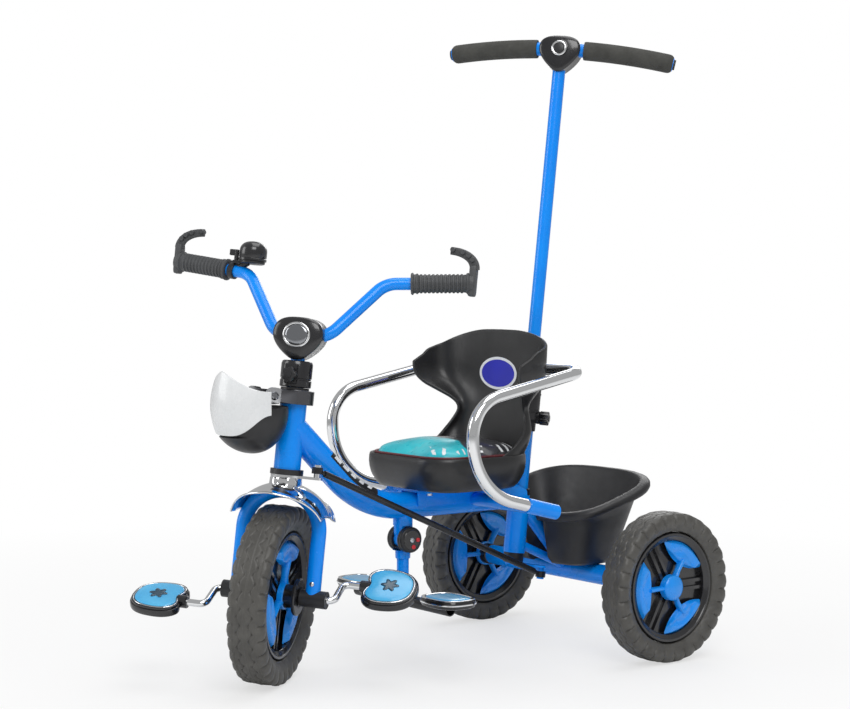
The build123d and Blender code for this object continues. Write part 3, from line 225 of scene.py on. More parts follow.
blue_paint = painted("azure_enamel", AZURE, DEEP_AZURE)
blue_plastic = moulded("azure_plastic", (0.006, 0.28, 0.86, 1), AZURE, 0.24, 0.34, 900, 0.05, coat=0.3)
black_gloss = moulded("black_gloss_plastic", (0.010, 0.010, 0.012, 1), (0.016, 0.016, 0.018, 1), 0.16, 0.26,
                      900, 0.04, coat=0.4)
black_satin = moulded("black_satin_plastic", BLACK, (0.022, 0.022, 0.024, 1), 0.32, 0.45, 1400, 0.12)
seat_plastic = moulded("seat_black_plastic", (0.014, 0.014, 0.015, 1), (0.022, 0.022, 0.023, 1), 0.30, 0.40,
                       1600, 0.10)
basket_plastic = moulded("basket_plastic", (0.016, 0.016, 0.018, 1), (0.026, 0.026, 0.028, 1), 0.38, 0.5,
                         1500, 0.14)
foam_tyre = foam("tyre_foam", (0.062, 0.060, 0.055, 1), (0.095, 0.092, 0.084, 1), 0.36, 0.5, 700)
foam_grip = foam("handle_foam", (0.040, 0.040, 0.036, 1), (0.060, 0.060, 0.054, 1), 0.75, 0.9, 1300)
grip_rubber = moulded("grip_rubber", (0.050, 0.052, 0.055, 1), (0.075, 0.078, 0.082, 1), 0.45, 0.6, 1300, 0.15)
chrome = plated("chrome_plate", (0.82, 0.83, 0.84, 1), 0.05, 0.11)
plated_dark = plated("smoked_plate", (0.30, 0.31, 0.33, 1), 0.10, 0.18)
plated_smoke = plated("smoked_satin_plate", (0.13, 0.13, 0.14, 1), 0.26, 0.36)
steel = plated("zinc_steel", (0.62, 0.63, 0.65, 1), 0.22, 0.34)
rod_black = painted("black_enamel", (0.012, 0.012, 0.013, 1), (0.02, 0.02, 0.022, 1))
lens_white = moulded("lens_white", (0.74, 0.76, 0.77, 1), (0.80, 0.81, 0.82, 1), 0.22, 0.34, 500, 0.05,
                     coat=0.3)
teal_pad = moulded("pad_sky_blue", (0.10, 0.50, 0.74, 1), (0.15, 0.56, 0.80, 1), 0.35, 0.5, 1200, 0.1)
pedal_blue = moulded("pedal_sky_blue", (0.05, 0.42, 0.78, 1), (0.10, 0.52, 0.86, 1), 0.16, 0.26, 900, 0.05,
                     coat=0.5)
rosette_dark = moulded("rosette_navy", (0.012, 0.05, 0.09, 1), (0.02, 0.08, 0.13, 1), 0.2, 0.3, 900, 0.05,
                       coat=0.5)
label_white = moulded("label_white", (0.80, 0.81, 0.84, 1), (0.74, 0.75, 0.79, 1), 0.25, 0.35, 900, 0.03,
                      coat=0.3)
label_blue = moulded("label_blue", (0.004, 0.008, 0.40, 1), (0.006, 0.012, 0.48, 1), 0.3, 0.38, 900, 0.03,
                     coat=0.1)
piping_red = moulded("piping_dark_red", (0.10, 0.012, 0.018, 1), (0.15, 0.02, 0.026, 1), 0.4, 0.5, 900, 0.08)
dot_red = moulded("red_plastic", (0.62, 0.02, 0.03, 1), (0.70, 0.03, 0.04, 1), 0.3, 0.4, 900, 0.05)


def printed_vinyl():
    """Cushion cover: glossy vinyl, turquoise in front, dark behind, small white dashes near its edge."""
    s = Shader("cushion_printed_vinyl")
    parts = s.add("ShaderNodeSeparateXYZ")
    s.link(s.place, parts, 0)
    wander = s.spread(s.noise(9, 2), 0.3, 0.7, -0.018, 0.018)
    along = s.add("ShaderNodeMath", operation="ADD")
    s.link(parts.outputs["Y"], along, 0)
    s.link(wander, along, 1)
    boundary = rear_middle.y - 232 * MM
    front = s.spread(along.outputs[0], boundary, boundary + 3 * MM, 0.0, 1.0)
    teal = s.mix(s.spread(s.noise(30, 3), 0.35, 0.65), (0.01, 0.42, 0.50, 1), (0.02, 0.56, 0.64, 1))
    base = s.mix(front, teal, (0.02, 0.02, 0.024, 1))
    wave = s.add("ShaderNodeMath", operation="MULTIPLY")
    s.link(s.spread(along.outputs[0], 0, 1), wave, 0)
    wave.inputs[1].default_value = 620.0
    dash = s.add("ShaderNodeMath", operation="SINE")
    s.link(wave.outputs[0], dash, 0)
    dash_mask = s.spread(dash.outputs[0], 0.35, 0.55)
    band_low = s.spread(parts.outputs["Z"], 281.5 * MM, 282.5 * MM)
    band_high = s.spread(parts.outputs["Z"], 290.5 * MM, 289.5 * MM)
    broken = s.spread(s.noise(55, 1), 0.48, 0.52)
    mask = s.product(s.product(dash_mask, band_low), s.product(band_high, broken))
    s.colour(s.mix(mask, base, (0.78, 0.80, 0.82, 1)))
    s.rough(s.spread(s.noise(120, 4), 0.3, 0.7, 0.26, 0.4))
    s.surface(coat_weight=0.3, coat_roughness=0.15)
    s.bump(s.noise(850, 4, 0.6), 0.3, 0.18)
    return s.material


cushion_vinyl = printed_vinyl()

# ---------------------------------------------------------------- mesh helpers
def piece(name, parts, place, body, material, slot, stands_for=(), smooth=38):
    """One object from a list of (points, faces) in a local frame's millimetres."""
    points = []
    faces = []
    for part_points, part_faces in parts:
        start = len(points)
        points.extend(place @ Vector(p) for p in part_points)
        faces.extend(tuple(start + k for k in face) for face in part_faces)
    mesh = bpy.data.meshes.new(name)
    mesh.from_pydata(points, [], faces)
    mesh.validate()
    bm = bmesh.new()
    bm.from_mesh(mesh)
    bmesh.ops.recalc_face_normals(bm, faces=bm.faces)
    bm.to_mesh(mesh)
    bm.free()
    return dress(bpy.data.objects.new(name, mesh), body, material, stands_for, smooth)


def dress(obj, body, material, stands_for=(), smooth=38):
    if obj.name not in bpy.context.scene.collection.objects:
        bpy.context.scene.collection.objects.link(obj)
    if smooth:
        obj.data.shade_smooth()
        obj.data.set_sharp_from_angle(angle=radians(smooth))
    obj.data.materials.clear()
    obj.data.materials.append(material)
    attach(obj, body)
    if stands_for:
        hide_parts(*stands_for)
    return obj


def angles(count):
    """Evenly spaced angles round one turn."""
    return [TURN * k / count for k in range(count)]


def signed_power(value, power):
    """Power of a number's size, with the number's own sign."""
    return abs(value) ** power * (1 if value > 0 else -1)


def across(x, facing=1):
    """Stands an outline drawn in (y, z) at one x, raised along X."""
    return Matrix(((0, 0, facing, x), (1, 0, 0, 0), (0, 1, 0, 0), (0, 0, 0, 1)))


def mirrored(side):
    """Mirror to the rider's right for side -1; nothing for side 1."""
    return MIRROR if side < 0 else Matrix.Identity(4)


def moved_part(part, matrix):
    points, faces = part
    return [matrix @ Vector(p) for p in points], faces


def grid_part(rows, closed_rows=False, closed_columns=False, caps=False):
    """Surface through rows of points; each row has as many points as the others."""
    columns = len(rows[0])
    points = [p for row in rows for p in row]
    faces = []
    for r in range(len(rows) if closed_rows else len(rows) - 1):
        r_next = (r + 1) % len(rows)
        for c in range(columns if closed_columns else columns - 1):
            c_next = (c + 1) % columns
            faces.append((r * columns + c, r * columns + c_next, r_next * columns + c_next,
                          r_next * columns + c))
    if caps:
        faces.append(tuple(range(columns)))
        last = (len(rows) - 1) * columns
        faces.append(tuple(range(last, last + columns)))
    return points, faces


def thicken(obj, thickness):
    """Gives an open skin its wall, inwards."""
    wall = obj.modifiers.new("wall", "SOLIDIFY")
    wall.thickness = thickness * MM
    wall.offset = -1
    wall.use_rim = True


def soften(obj, width, segments):
    """Rounds a piece's sharp edges."""
    ease = obj.modifiers.new("eased", "BEVEL")
    ease.width = width * MM
    ease.segments = segments
    ease.limit_method = "ANGLE"
    ease.angle_limit = radians(50)


def closed_part(rows):
    """Skin through closed loops of points, capped at both ends."""
    return grid_part(rows, closed_columns=True, caps=True)


def lathe(profile, steps=64, axis="X", closed=False):
    """Turns (along, radius) points about an axis of the local frame."""
    rows = []
    for angle in angles(steps):
        row = []
        for along, radius in profile:
            a = radius * cos(angle)
            b = radius * sin(angle)
            row.append({"X": (along, a, b), "Y": (a, along, b), "Z": (a, b, along)}[axis])
        rows.append(row)
    return grid_part(rows, closed_rows=True, closed_columns=closed)


def rounded_path(corners, radii, step=3.0):
    """Points along straight runs joined by arcs; one radius for each inner corner."""
    corners = [Vector(c) for c in corners]
    path = [corners[0]]
    for k in range(1, len(corners) - 1):
        before = (corners[k - 1] - corners[k]).normalized()
        after = (corners[k + 1] - corners[k]).normalized()
        half = before.angle(after) / 2
        reach = radii[k - 1] / tan(half)
        start = corners[k] + before * reach
        end = corners[k] + after * reach
        centre = corners[k] + (before + after).normalized() * radii[k - 1] / sin(half)
        from_centre = start - centre
        sweep = pi - 2 * half
        axis = from_centre.cross(end - centre).normalized()
        count = max(4, int(radii[k - 1] * sweep / step))
        for i in range(count + 1):
            turn = Matrix.Rotation(sweep * i / count, 3, axis)
            path.append(centre + turn @ from_centre)
    path.append(corners[-1])
    return path


def sweep_part(path, section, closed=False, caps=True):
    """Carries a closed section along a path; section(k, share) gives its (side, up) points."""
    tangents = []
    count = len(path)
    for k in range(count):
        before = path[(k - 1) % count] if closed or k else path[k]
        after = path[(k + 1) % count] if closed or k < count - 1 else path[k]
        tangents.append((after - before).normalized())
    side = tangents[0].orthogonal().normalized()
    for candidate in (Vector((0, 0, 1)), Vector((0, 1, 0))):
        if abs(candidate.dot(tangents[0])) < 0.9:
            side = (candidate - tangents[0] * candidate.dot(tangents[0])).normalized()
            break
    rows = []
    for k in range(count):
        side = (side - tangents[k] * side.dot(tangents[k])).normalized()
        other = tangents[k].cross(side)
        rows.append([path[k] + other * a + side * b for a, b in section(k, k / (count - 1))])
    return grid_part(rows, closed_rows=closed, closed_columns=True, caps=caps and not closed)


def circle(radius, steps=32):
    return [(radius * cos(angle), radius * sin(angle)) for angle in angles(steps)]


def tube_part(path, radius, steps=32, closed=False):
    ring = circle(radius, steps)
    return sweep_part(path, lambda k, share: ring, closed=closed)


def rod_part(radius, start, end, steps=32, chamfer=0.6):
    """Round bar with eased ends."""
    start = Vector(start)
    end = Vector(end)
    along = (end - start).normalized()
    path = [start, start + along * chamfer, end - along * chamfer, end]
    sizes = [radius - chamfer, radius, radius, radius - chamfer]
    return sweep_part(path, lambda k, share: circle(sizes[k], steps))


def prism(outline, low, high, place=Matrix.Identity(4), ease=1.0):
    """Closed (x, y) outline raised from low to high, with eased rims."""
    centre_x = sum(p[0] for p in outline) / len(outline)
    centre_y = sum(p[1] for p in outline) / len(outline)

    def ring(shrink, height):
        points = []
        for x, y in outline:
            distance = sqrt((x - centre_x) ** 2 + (y - centre_y) ** 2)
            share = max(0.0, 1 - shrink / distance) if distance else 1
            points.append(place @ Vector((centre_x + (x - centre_x) * share,
                                          centre_y + (y - centre_y) * share, height)))
        return points

    return closed_part([ring(ease, low), ring(0.3 * ease, low + 0.3 * ease), ring(0, low + ease),
                        ring(0, high - ease), ring(0.3 * ease, high - 0.3 * ease), ring(ease, high)])


def arc(cx, cy, radius, start, end, count):
    """Points on an arc, in degrees."""
    turns = [radians(start + (end - start) * k / (count - 1)) for k in range(count)]
    return [(cx + radius * cos(turn), cy + radius * sin(turn)) for turn in turns]


def smooth_step(value, low, high):
    t = min(1.0, max(0.0, (value - low) / (high - low)))
    return t * t * (3 - 2 * t)


def bump_shape(value, centre, width):
    return exp(-((value - centre) / width) ** 2)


# ---------------------------------------------------------------- wheels
REAR_WHEEL = (100, 42, 77)      # the tyre's radius and width, and the rim's radius
FRONT_WHEEL = (112.5, 47, 84)
WALL, SHOULDER, TREAD = range(3)   # where a point of a tyre's section lies
SHOULDER_RADIUS = 9
LUG_STEPS = 14                  # steps round the tyre for one lug


def tyre_section(radius, half, rim_radius):
    """Plain section as (across, radius, kind), from one bead over the tread to the other."""
    crown = half - SHOULDER_RADIUS
    flank = []
    for k in range(12):
        share = k / 11
        flank.append((half - 7 + 7 * sin(share * pi / 2),
                      rim_radius - 2 + (radius - 10 - rim_radius + 2) * share, WALL))
    for k in range(1, 11):
        angle = pi / 2 * k / 11
        flank.append((crown + SHOULDER_RADIUS * cos(angle),
                      radius - SHOULDER_RADIUS + SHOULDER_RADIUS * sin(angle), SHOULDER))
    tread = []
    for k in range(45):
        x = crown - 2 * crown * k / 44
        tread.append((x, radius - 0.9 * (abs(x) / crown) ** 2.5, TREAD))
    return flank + tread + [(-x, r, kind) for x, r, kind in reversed(flank)]


def tread_sink(x, r, kind, radius, half, phase):
    """Depth of the tread's pattern: centre seam, zigzag notches, shoulder slits and lugs."""
    wave = 2 * abs(2 * phase - 1) - 1
    side = abs(x)
    zigzag = 0.33 * half + 0.11 * half * wave
    second = 0.70 * half + 0.08 * half * wave
    sink = (0.8 + 1.2 * smooth_step(abs(wave), 0.2, 0.9)) * bump_shape(side, zigzag, 1.0)
    sink += 0.5 * bump_shape(side, second, 0.8)
    sink -= 0.45 * bump_shape(x, 0, 0.7)
    shoulder = smooth_step(side, 0.66 * half, 0.82 * half)
    if kind == WALL:
        shoulder *= smooth_step(r, radius - 20, radius - 13)
    sink += 2.4 * bump_shape(phase, 0.5, 0.085) * shoulder
    lug = bump_shape(phase, 0.0, 0.22) + bump_shape(phase, 1.0, 0.22)
    return sink - 0.9 * lug * shoulder


def tyre_piece(name, place, body, node, size, elements):
    """Foam tyre with its tread."""
    radius, width, rim_radius = size
    section = tyre_section(radius, width / 2, rim_radius)
    rows = []
    for k, angle in enumerate(angles(elements * LUG_STEPS)):
        row = []
        for x, r, kind in section:
            sink = tread_sink(x, r, kind, radius, width / 2, (k / LUG_STEPS) % 1.0)
            outward = 1 if x > 0 else -1
            if kind == TREAD:
                r -= sink
            elif kind == SHOULDER:
                x -= 0.7 * sink * outward
                r -= 0.7 * sink
            else:
                x -= sink * outward
            row.append((x, r * cos(angle), r * sin(angle)))
        rows.append(row)
    part = grid_part(rows, closed_rows=True, closed_columns=True)
    piece(name, [part], place, body, foam_tyre, "foam_tyre", (node,), smooth=60)


def rim_piece(name, place, body, node, rim_radius, half, hub_in, hub_out, spoke_angles, flange=0.0):
    """Glossy black rim: stepped ring, three twin-ribbed spokes and the hub barrel."""
    seat = rim_radius - 5
    inner = rim_radius - 14.5
    ring = [(-half, seat), (-half, seat - 3), (-half + 1.5, seat - 4.2), (-half + 2.5, inner + 1.2),
            (-half + 4, inner), (half - 4, inner), (half - 2.5, inner + 1.2), (half - 1.5, seat - 4.2),
            (half, seat - 3), (half, seat), (half - 3, seat + 1.6), (-half + 3, seat + 1.6)]
    barrel = [(hub_in, 6), (hub_in, 13.6), (hub_in + 1.2, 15), (hub_out - 1.2, 15), (hub_out, 13.6),
              (hub_out, 6)]
    parts = [lathe(ring, 120, closed=True), lathe(barrel, 64, closed=True)]
    if flange:
        for side in (-1, 1):
            out = side * hub_out
            disc = [(out, 6), (out, flange - 1.5), (out - side * 1.2, flange), (out - side * 4, flange),
                    (out - side * 6.5, 15.5), (out - side * 6.5, 6)]
            parts.append(lathe(disc, 64, closed=True))
    web = [(-2.5, 14), (2.5, 14), (2.5, 17), (3.4, 24), (2.5, 31), (2.5, inner + 1), (-2.5, inner + 1),
           (-2.5, 31), (-3.4, 24), (-2.5, 17)]
    parts.append(lathe(web, 120, closed=True))

    def bar(middle, half_width):
        low, high = middle - half_width, middle + half_width
        return [(low, 13), (high, 13), (high, inner + 1), (low, inner + 1)]

    for angle in spoke_angles:
        turn = turned("X", angle - 90)
        for side in (-1, 1):
            for y in (-5.0, 5.0):
                parts.append(moved_part(prism(bar(y, 2.2), 0, 8, across(0, side), 0.8), turn))
        parts.append(moved_part(prism(bar(0, 7), -4.5, 4.5, across(0), 0.6), turn))
    piece(name, parts, place, body, black_gloss, "black_plastic", (node,))


def lobe_part(limit, base, height, side):
    """One lens-shaped lobe standing on the wheel's side: raised shell with a sunken leaf in its middle."""
    centre = 1.5 * limit
    lens = 0.96 * limit
    reach = acos((limit ** 2 + centre ** 2 - lens ** 2) / (2 * limit * centre))
    rows = []
    count = 37
    bands = 20
    for i in range(count):
        share = 2 * i / (count - 1) - 1
        angle = share * reach * 0.985
        inner = centre * cos(angle) - sqrt(max(0.0, lens ** 2 - (centre * sin(angle)) ** 2))
        tip = 1 - abs(share)
        row = []
        for k in range(bands):
            span = k / (bands - 1)
            radius = inner + (limit - inner) * span
            edge = min(span, 1 - span) * 2
            rise = height * smooth_step(min(edge * 2.6, tip * 5), 0, 1)
            crown = 1.2 * (1 - (2 * span - 1) ** 2) * (1 - share ** 2)
            leaf = bump_shape(span, 0.4 + 0.16 * cos(share * pi * 0.9), 0.16 * sqrt(max(0.02, 1 - share ** 2)))
            sunk = 2.1 * leaf * smooth_step(tip, 0.12, 0.45)
            x = side * (base + rise + crown * edge - sunk * smooth_step(edge, 0.2, 0.7))
            row.append((x, radius * sin(angle), radius * cos(angle)))
        rows.append(row)
    under = [[(side * base, y, z) for x, y, z in row] for row in rows]
    border = rows[0] + [row[-1] for row in rows[1:]] + rows[-1][-2::-1] + [row[0] for row in rows[-2:0:-1]]
    low = [(side * base, y, z) for x, y, z in border]
    return [grid_part(rows), grid_part(under), grid_part([border, low], closed_columns=True)]


def spider_piece(name, place, body, node, rim_radius, base, height, lobe_angles, dome=0.0):
    """Blue spider: three lobes on short arms round the hub, and a domed middle over the nut."""
    limit = rim_radius - 14.8
    top = base + height
    widths = [6.5, 4.8, 7.0]
    parts = []
    for side in (1, -1):
        arm_path = [Vector((side * (base + 2.5), 0, z)) for z in (12, 24, 0.66 * limit)]
        for angle in lobe_angles:
            arm = sweep_part(arm_path, lambda k, share: [(a * widths[k], b * 3.4) for a, b in circle(1.0, 20)])
            for part in lobe_part(limit, base, height, side) + [arm]:
                parts.append(moved_part(part, turned("X", angle - 90)))
        if dome and side > 0:
            cap = [(base, 15.3), (base, 17.2), (top + 1.5, 17.0)]
            cap += [(top + 1.5 + dome * sin(pi / 2 * k / 12), 17.0 * cos(pi / 2 * k / 12)) for k in range(1,
                                                                                                          12)]
            parts.append(lathe(cap + [(top + 1.5 + dome, 0.01)], 64))
        else:
            collar = [(base, 15.3), (base, 17.4), (top - 1, 17.4), (top, 16.6), (top, 15.3)]
            parts.append(lathe([(side * x, r) for x, r in collar], 64, closed=True))
    piece(name, parts, place, body, blue_plastic, "blue_plastic", (node,))


def wheels():
    rim = REAR_WHEEL[2]
    for side in ("left", "right"):
        name = side + "_rear"
        place = rear_place[side]
        body = name + "_wheel"
        spokes, lobes = ([180 - a if side == "right" else a for a in three]
                         for three in ((0, 120, 240), (60, 180, 300)))
        tyre_piece(name + "_tread_tyre", place, body, name + "_tyre", REAR_WHEEL, 30)
        rim_piece(name + "_gloss_rim", place, body, name + "_rim", rim, 14, -26.7, 14, spokes)
        spider_piece(name + "_lobed_spider", place, body, name + "_spider", rim, 8.2, 5.8, lobes, dome=7.0)
    rim = FRONT_WHEEL[2]
    body = "front_wheel"
    tyre_piece("front_tread_tyre", steering_place, body, "front_tyre", FRONT_WHEEL, 34)
    rim_piece("front_gloss_rim", steering_place, body, "front_rim", rim, 16.5, -33, 33, (-90, 30, 150),
              flange=23.5)
    spider_piece("front_lobed_spider", steering_place, body, "front_spider", rim, 8.3, 7.5, (90, 210, 330))


# ---------------------------------------------------------------- frame tubes and rails
def guard_rail():
    """Chromed rail: up from its sockets, round the seat's sides and across behind its back."""
    left = [(156, -163, 208.5), (156, -297, 242), (156, -297, 352.5), (156, -112, 389)]
    right = [(-x, y, z) for x, y, z in reversed(left)]
    path = rounded_path(left + right, [85, 50, 25, 25, 50, 85], 2.0)
    piece("guard_rail_tube", [tube_part(path, 8.0, 40)], *on_frame, chrome, "chrome", ("guard_rail",))


BAR = [(0, 0, 327), (34, 4, 327), (92, 46, 404), (199, 67.4, 414.5)]   # corners from the middle to the left end
GRIP_LENGTH = 77   # from a grip's inner end to the bar's end


def bar_path():
    right = [(-x, y, z) for x, y, z in reversed(BAR[1:])]
    return rounded_path(right + BAR[1:], [34, 34, 34, 34], 2.0)


def handlebar():
    parts = [tube_part(bar_path(), 8.0, 40), rod_part(9.0, (0, 0, 270.5), (0, 0, 326), 40)]
    piece("handlebar_tube", parts, *on_steering, blue_paint, "blue_paint", ("handlebar",))


HANDLE_HEIGHT = 722.0


def handle_point(x):
    share = (x / 160) ** 2
    return Vector((x, 12.3 * share, HANDLE_HEIGHT - 12.4 * share))


def push_handle():
    """Upper pole with its gently drooping cross bar."""
    bar = [handle_point(-157 + 314 * k / 60) for k in range(61)]
    parts = [rod_part(9.0, (0, 0, 165.2), (0, 0, HANDLE_HEIGHT), 48), tube_part(bar, 9.5, 40)]
    piece("push_pole_tube", parts, *on_handle, blue_paint, "blue_paint", ("push_pole",))
    grips = []
    for side in (-1, 1):
        path = [handle_point(side * (33.2 + 126.6 * k / 60)) for k in range(61)]
        radii = [11.6, 12.7] + [13.0] * 55 + [12.8, 12.2, 10.6, 7.0]
        grips.append(sweep_part(path[:1] + path, lambda k, share: circle(radii[min(k, 60)], 40)))
    piece("handle_foam_grips", grips, *on_handle, foam_grip, "foam_grip", ("handle_grips",), smooth=50)


def superellipse(a, b, power, count):
    return [(a * signed_power(cos(angle), 2 / power), b * signed_power(sin(angle), 2 / power))
            for angle in angles(count)]


def shield_outline(half, top, foot, foot_half, count=72):
    """Rounded shield: broad above, narrowing to its foot; (x, z) points round its middle."""
    points = []
    for angle in angles(count):
        d = sin(angle)
        reach = half if d > 0 else half - (half - foot_half) * min(1.0, (-d) ** 1.6)
        z = top * d ** 0.85 if d > 0 else -foot * abs(d) ** 0.9
        points.append((reach * signed_power(cos(angle), 0.72), z))
    return points


def puffed(outline, place, front, back, bulge, layers=7):
    """Closed pillow on an (x, z) outline: crowned front, flat back, along local -Y."""
    sections = []
    for k in reversed(range(layers)):
        share = k / (layers - 1)
        sections.append((front + bulge * sin(share * pi / 2), cos(share * pi / 2 * 0.93)))
    sections += [(front - 1.0, 1.0), (-back + 2.0, 1.0), (-back + 0.6, 0.985), (-back, 0.94)]
    return closed_part([[place @ Vector((x * size, -depth, z * size)) for x, z in outline]
                        for depth, size in sections])


def oval_badge(place, a, b, front, domed):
    """Bright oval bezel round a plain domed face."""
    def ring(half_x, half_z, depth):
        return [place @ Vector((half_x * cos(angle), -depth, half_z * sin(angle))) for angle in angles(64)]

    bezel = [ring(a + grow, b + grow, front + rise)
             for grow, rise in ((0, 0), (0, 1.2), (-0.6, 1.8), (-1.6, 2.0), (-2.4, 1.6), (-2.8, 0.6))]
    face = []
    for k in range(6):
        lean = 1.45 * k / 5
        face.append(ring((a - 3) * cos(lean), (b - 3) * cos(lean), front + 0.8 + domed * sin(lean)))
    return closed_part(bezel), closed_part(face)


def handle_cap():
    """Black cover over the pole's head: shield front with a round plain button."""
    place = moved(0, 0, HANDLE_HEIGHT)
    outline = shield_outline(29, 17.5, 33, 12.5)
    body = puffed(outline, place, 11, 15, 4.5)
    parts = [body, prism(circle(12.5, 48), 10, 16.2, place @ Matrix.Rotation(pi / 2, 4, "X"), 1.2)]
    piece("handle_cap_shell", parts, *on_handle, black_gloss, "black_plastic", ("handle_cap",))
    bezel, face = oval_badge(place @ moved(0, 0, -1), 10.5, 10.5, 15.6, 1.4)
    piece("handle_cap_button_ring", [bezel], *on_handle, chrome, "chrome")
    piece("handle_cap_button", [face], *on_handle, black_satin, "black_plastic")


def stem_cap():
    """Shield cover on the handlebar with its plain oval badge."""
    place = moved(0, 0, 328)
    body = puffed(shield_outline(33, 22, 32, 16.5), place, 10, 15, 6.5)
    piece("stem_cap_shell", [body], *on_steering, black_gloss, "black_plastic", ("stem_cap",))
    bezel, face = oval_badge(moved(0, 0, 327.5), 18, 16, 14.6, 2.2)
    piece("stem_badge_bezel", [bezel], *on_steering, chrome, "chrome", ("stem_badge",))
    piece("stem_badge_face", [face], *on_steering, plated_dark, "chrome")


def grip_frame(side):
    """Frame of one grip, at its inner end, with Z outwards along the bar."""
    inner = Vector(BAR[2])
    outer = Vector(BAR[3])
    along = (outer - inner).normalized()
    start = outer - along * GRIP_LENGTH
    x_axis = Vector((0, 0, 1)).cross(along).normalized()
    z_axis = along.cross(x_axis)
    place = Matrix.Translation(start) @ Matrix((x_axis, z_axis, along)).transposed().to_4x4()
    return mirrored(side) @ place


def handlebar_grips():
    """Rubber grips: ribbed sleeve between flanges, end plate and a curved finger guard with knuckles."""
    x, y, z = BAR[3]
    ribs = []
    for k in range(11):
        start = 11.0 + 5.2 * k
        ribs += [(start, 11.2), (start + 0.9, 12.3), (start + 3.0, 12.3), (start + 3.9, 11.2)]
    profile = [(0, 8.4), (0, 12.8), (1.2, 14.2), (2.8, 14.2), (3.8, 12.2), (6.4, 12.2), (7.2, 13.2),
               (8.8, 13.2),
               (9.6, 11.9)] + ribs
    profile += [(70.5, 11.8), (71.4, 13.5), (73.6, 13.7), (75, 12.4), (80, 12.2), (80, 8.4)]
    stand = Matrix(((0, 0, 1, x + 1.5), (0, 1, 0, y), (1, 0, 0, z + 3.5), (0, 0, 0, 1)))
    plate = prism(superellipse(20, 8.2, 5, 48), -4.0, 4.5, stand, 1.6)

    def hook(share):
        angle = share * pi / 2
        return Vector((x + 2.5 - 33 * (1 - cos(angle)), y, z + 18 + 22 * sin(angle) ** 0.9))

    path = [hook(k / 23) for k in range(24)]
    wide = [6.6 - 1.6 * k / 23 for k in range(24)]
    guard = [plate, sweep_part(path, lambda k, share: [(p * wide[k] / 6.6, q)
                                                       for p, q in superellipse(6.6, 3.0, 3, 32)])]
    for share in (0.30, 0.48, 0.68, 0.95):
        knuckle = hook(share) + Vector((0.6, 0, 1.4))
        half = Vector((0, 6.2, 0))
        guard.append(rod_part(3.3, knuckle - half, knuckle + half, 20))
    parts = []
    for side in (-1, 1):
        parts.append(moved_part(lathe(profile, 48, "Z", closed=True), grip_frame(side)))
        parts += [moved_part(part, mirrored(side)) for part in guard]
    piece("handlebar_rubber_grips", parts, *on_steering, grip_rubber, "foam_grip", ("handlebar_grips",))


BELL = (-90, 46, 416)   # the bell's foot, in the steering frame


def bell():
    """Black dome bell with its band, knurled foot and lever."""
    x, y, z = BELL
    place = moved(x, y, z)
    dome = [(4.3, 16.0), (4.3, 18.0), (7.0, 18.3), (8.0, 17.4), (9.2, 18.0), (17, 18.0)]
    dome += [(17 + 13 * sin(pi / 2 * k / 10), 18.0 * cos(pi / 2 * k / 10) ** 0.75) for k in range(1, 10)]
    dome += [(30.2, 1.0), (30.2, 0.01)]
    piece("bell_dome_shell", [lathe(dome, 72, "Z")], steering_place @ place, "steering", black_gloss,
          "black_plastic",
          ("bell_dome",))
    base = [(0.2, 0.01), (0.2, 14.0), (1.0, 16.2), (3.8, 16.5), (4.0, 15.0), (4.0, 0.01)]
    band = lathe([(-11, 8.1), (-11, 10.4), (-10.3, 11), (-3.7, 11), (-3, 10.4), (-3, 8.1)], 40, "Z",
                 closed=True)
    band_place = grip_frame(-1)
    ear = prism([(-26, -5), (-8, -5), (-8, 5), (-26, 5)], 0, 4)
    inner = band_place @ Vector((0, 0, -7))
    foot = Vector((x - 6, y, z + 2))
    neck = rod_part(4.4, foot, inner + (foot - inner).normalized() * 9.2)
    parts = [moved_part(band, band_place), moved_part(ear, place), neck,
             moved_part(lathe(base, 48, "Z"), place)]
    piece("bell_band", parts, *on_steering, black_satin, "black_plastic", ("bell_clamp",))
    stem = lathe([(0.3, 0.01), (0.3, 2.6), (0.8, 3.0), (13.4, 3.0), (14, 2.4), (14, 0.01)], 28, "Z")
    lever = [stem, prism([(-9, -2), (-1, -2), (-1, 2), (-9, 2)], 6, 14, ease=0.8)]
    for height in (7, 9.5, 12):
        rib = [(-9.4, -2.2), (-8.6, -2.2), (-8.6, 2.2), (-9.4, 2.2)]
        lever.append(prism(rib, height, height + 1, ease=0.2))
    lever_place = steering_place @ moved(x - 22.5, y, z + 4)
    piece("bell_thumb_lever", lever, lever_place, "bell_lever", black_satin, "black_plastic", ("bell_lever",))


# ---------------------------------------------------------------- front end
def hub_turned(x, radius, angle):
    """Point at a radius from the front axle; angle 0 is straight up, positive is ahead."""
    return Vector((x, -radius * sin(radians(angle)), radius * cos(radians(angle))))


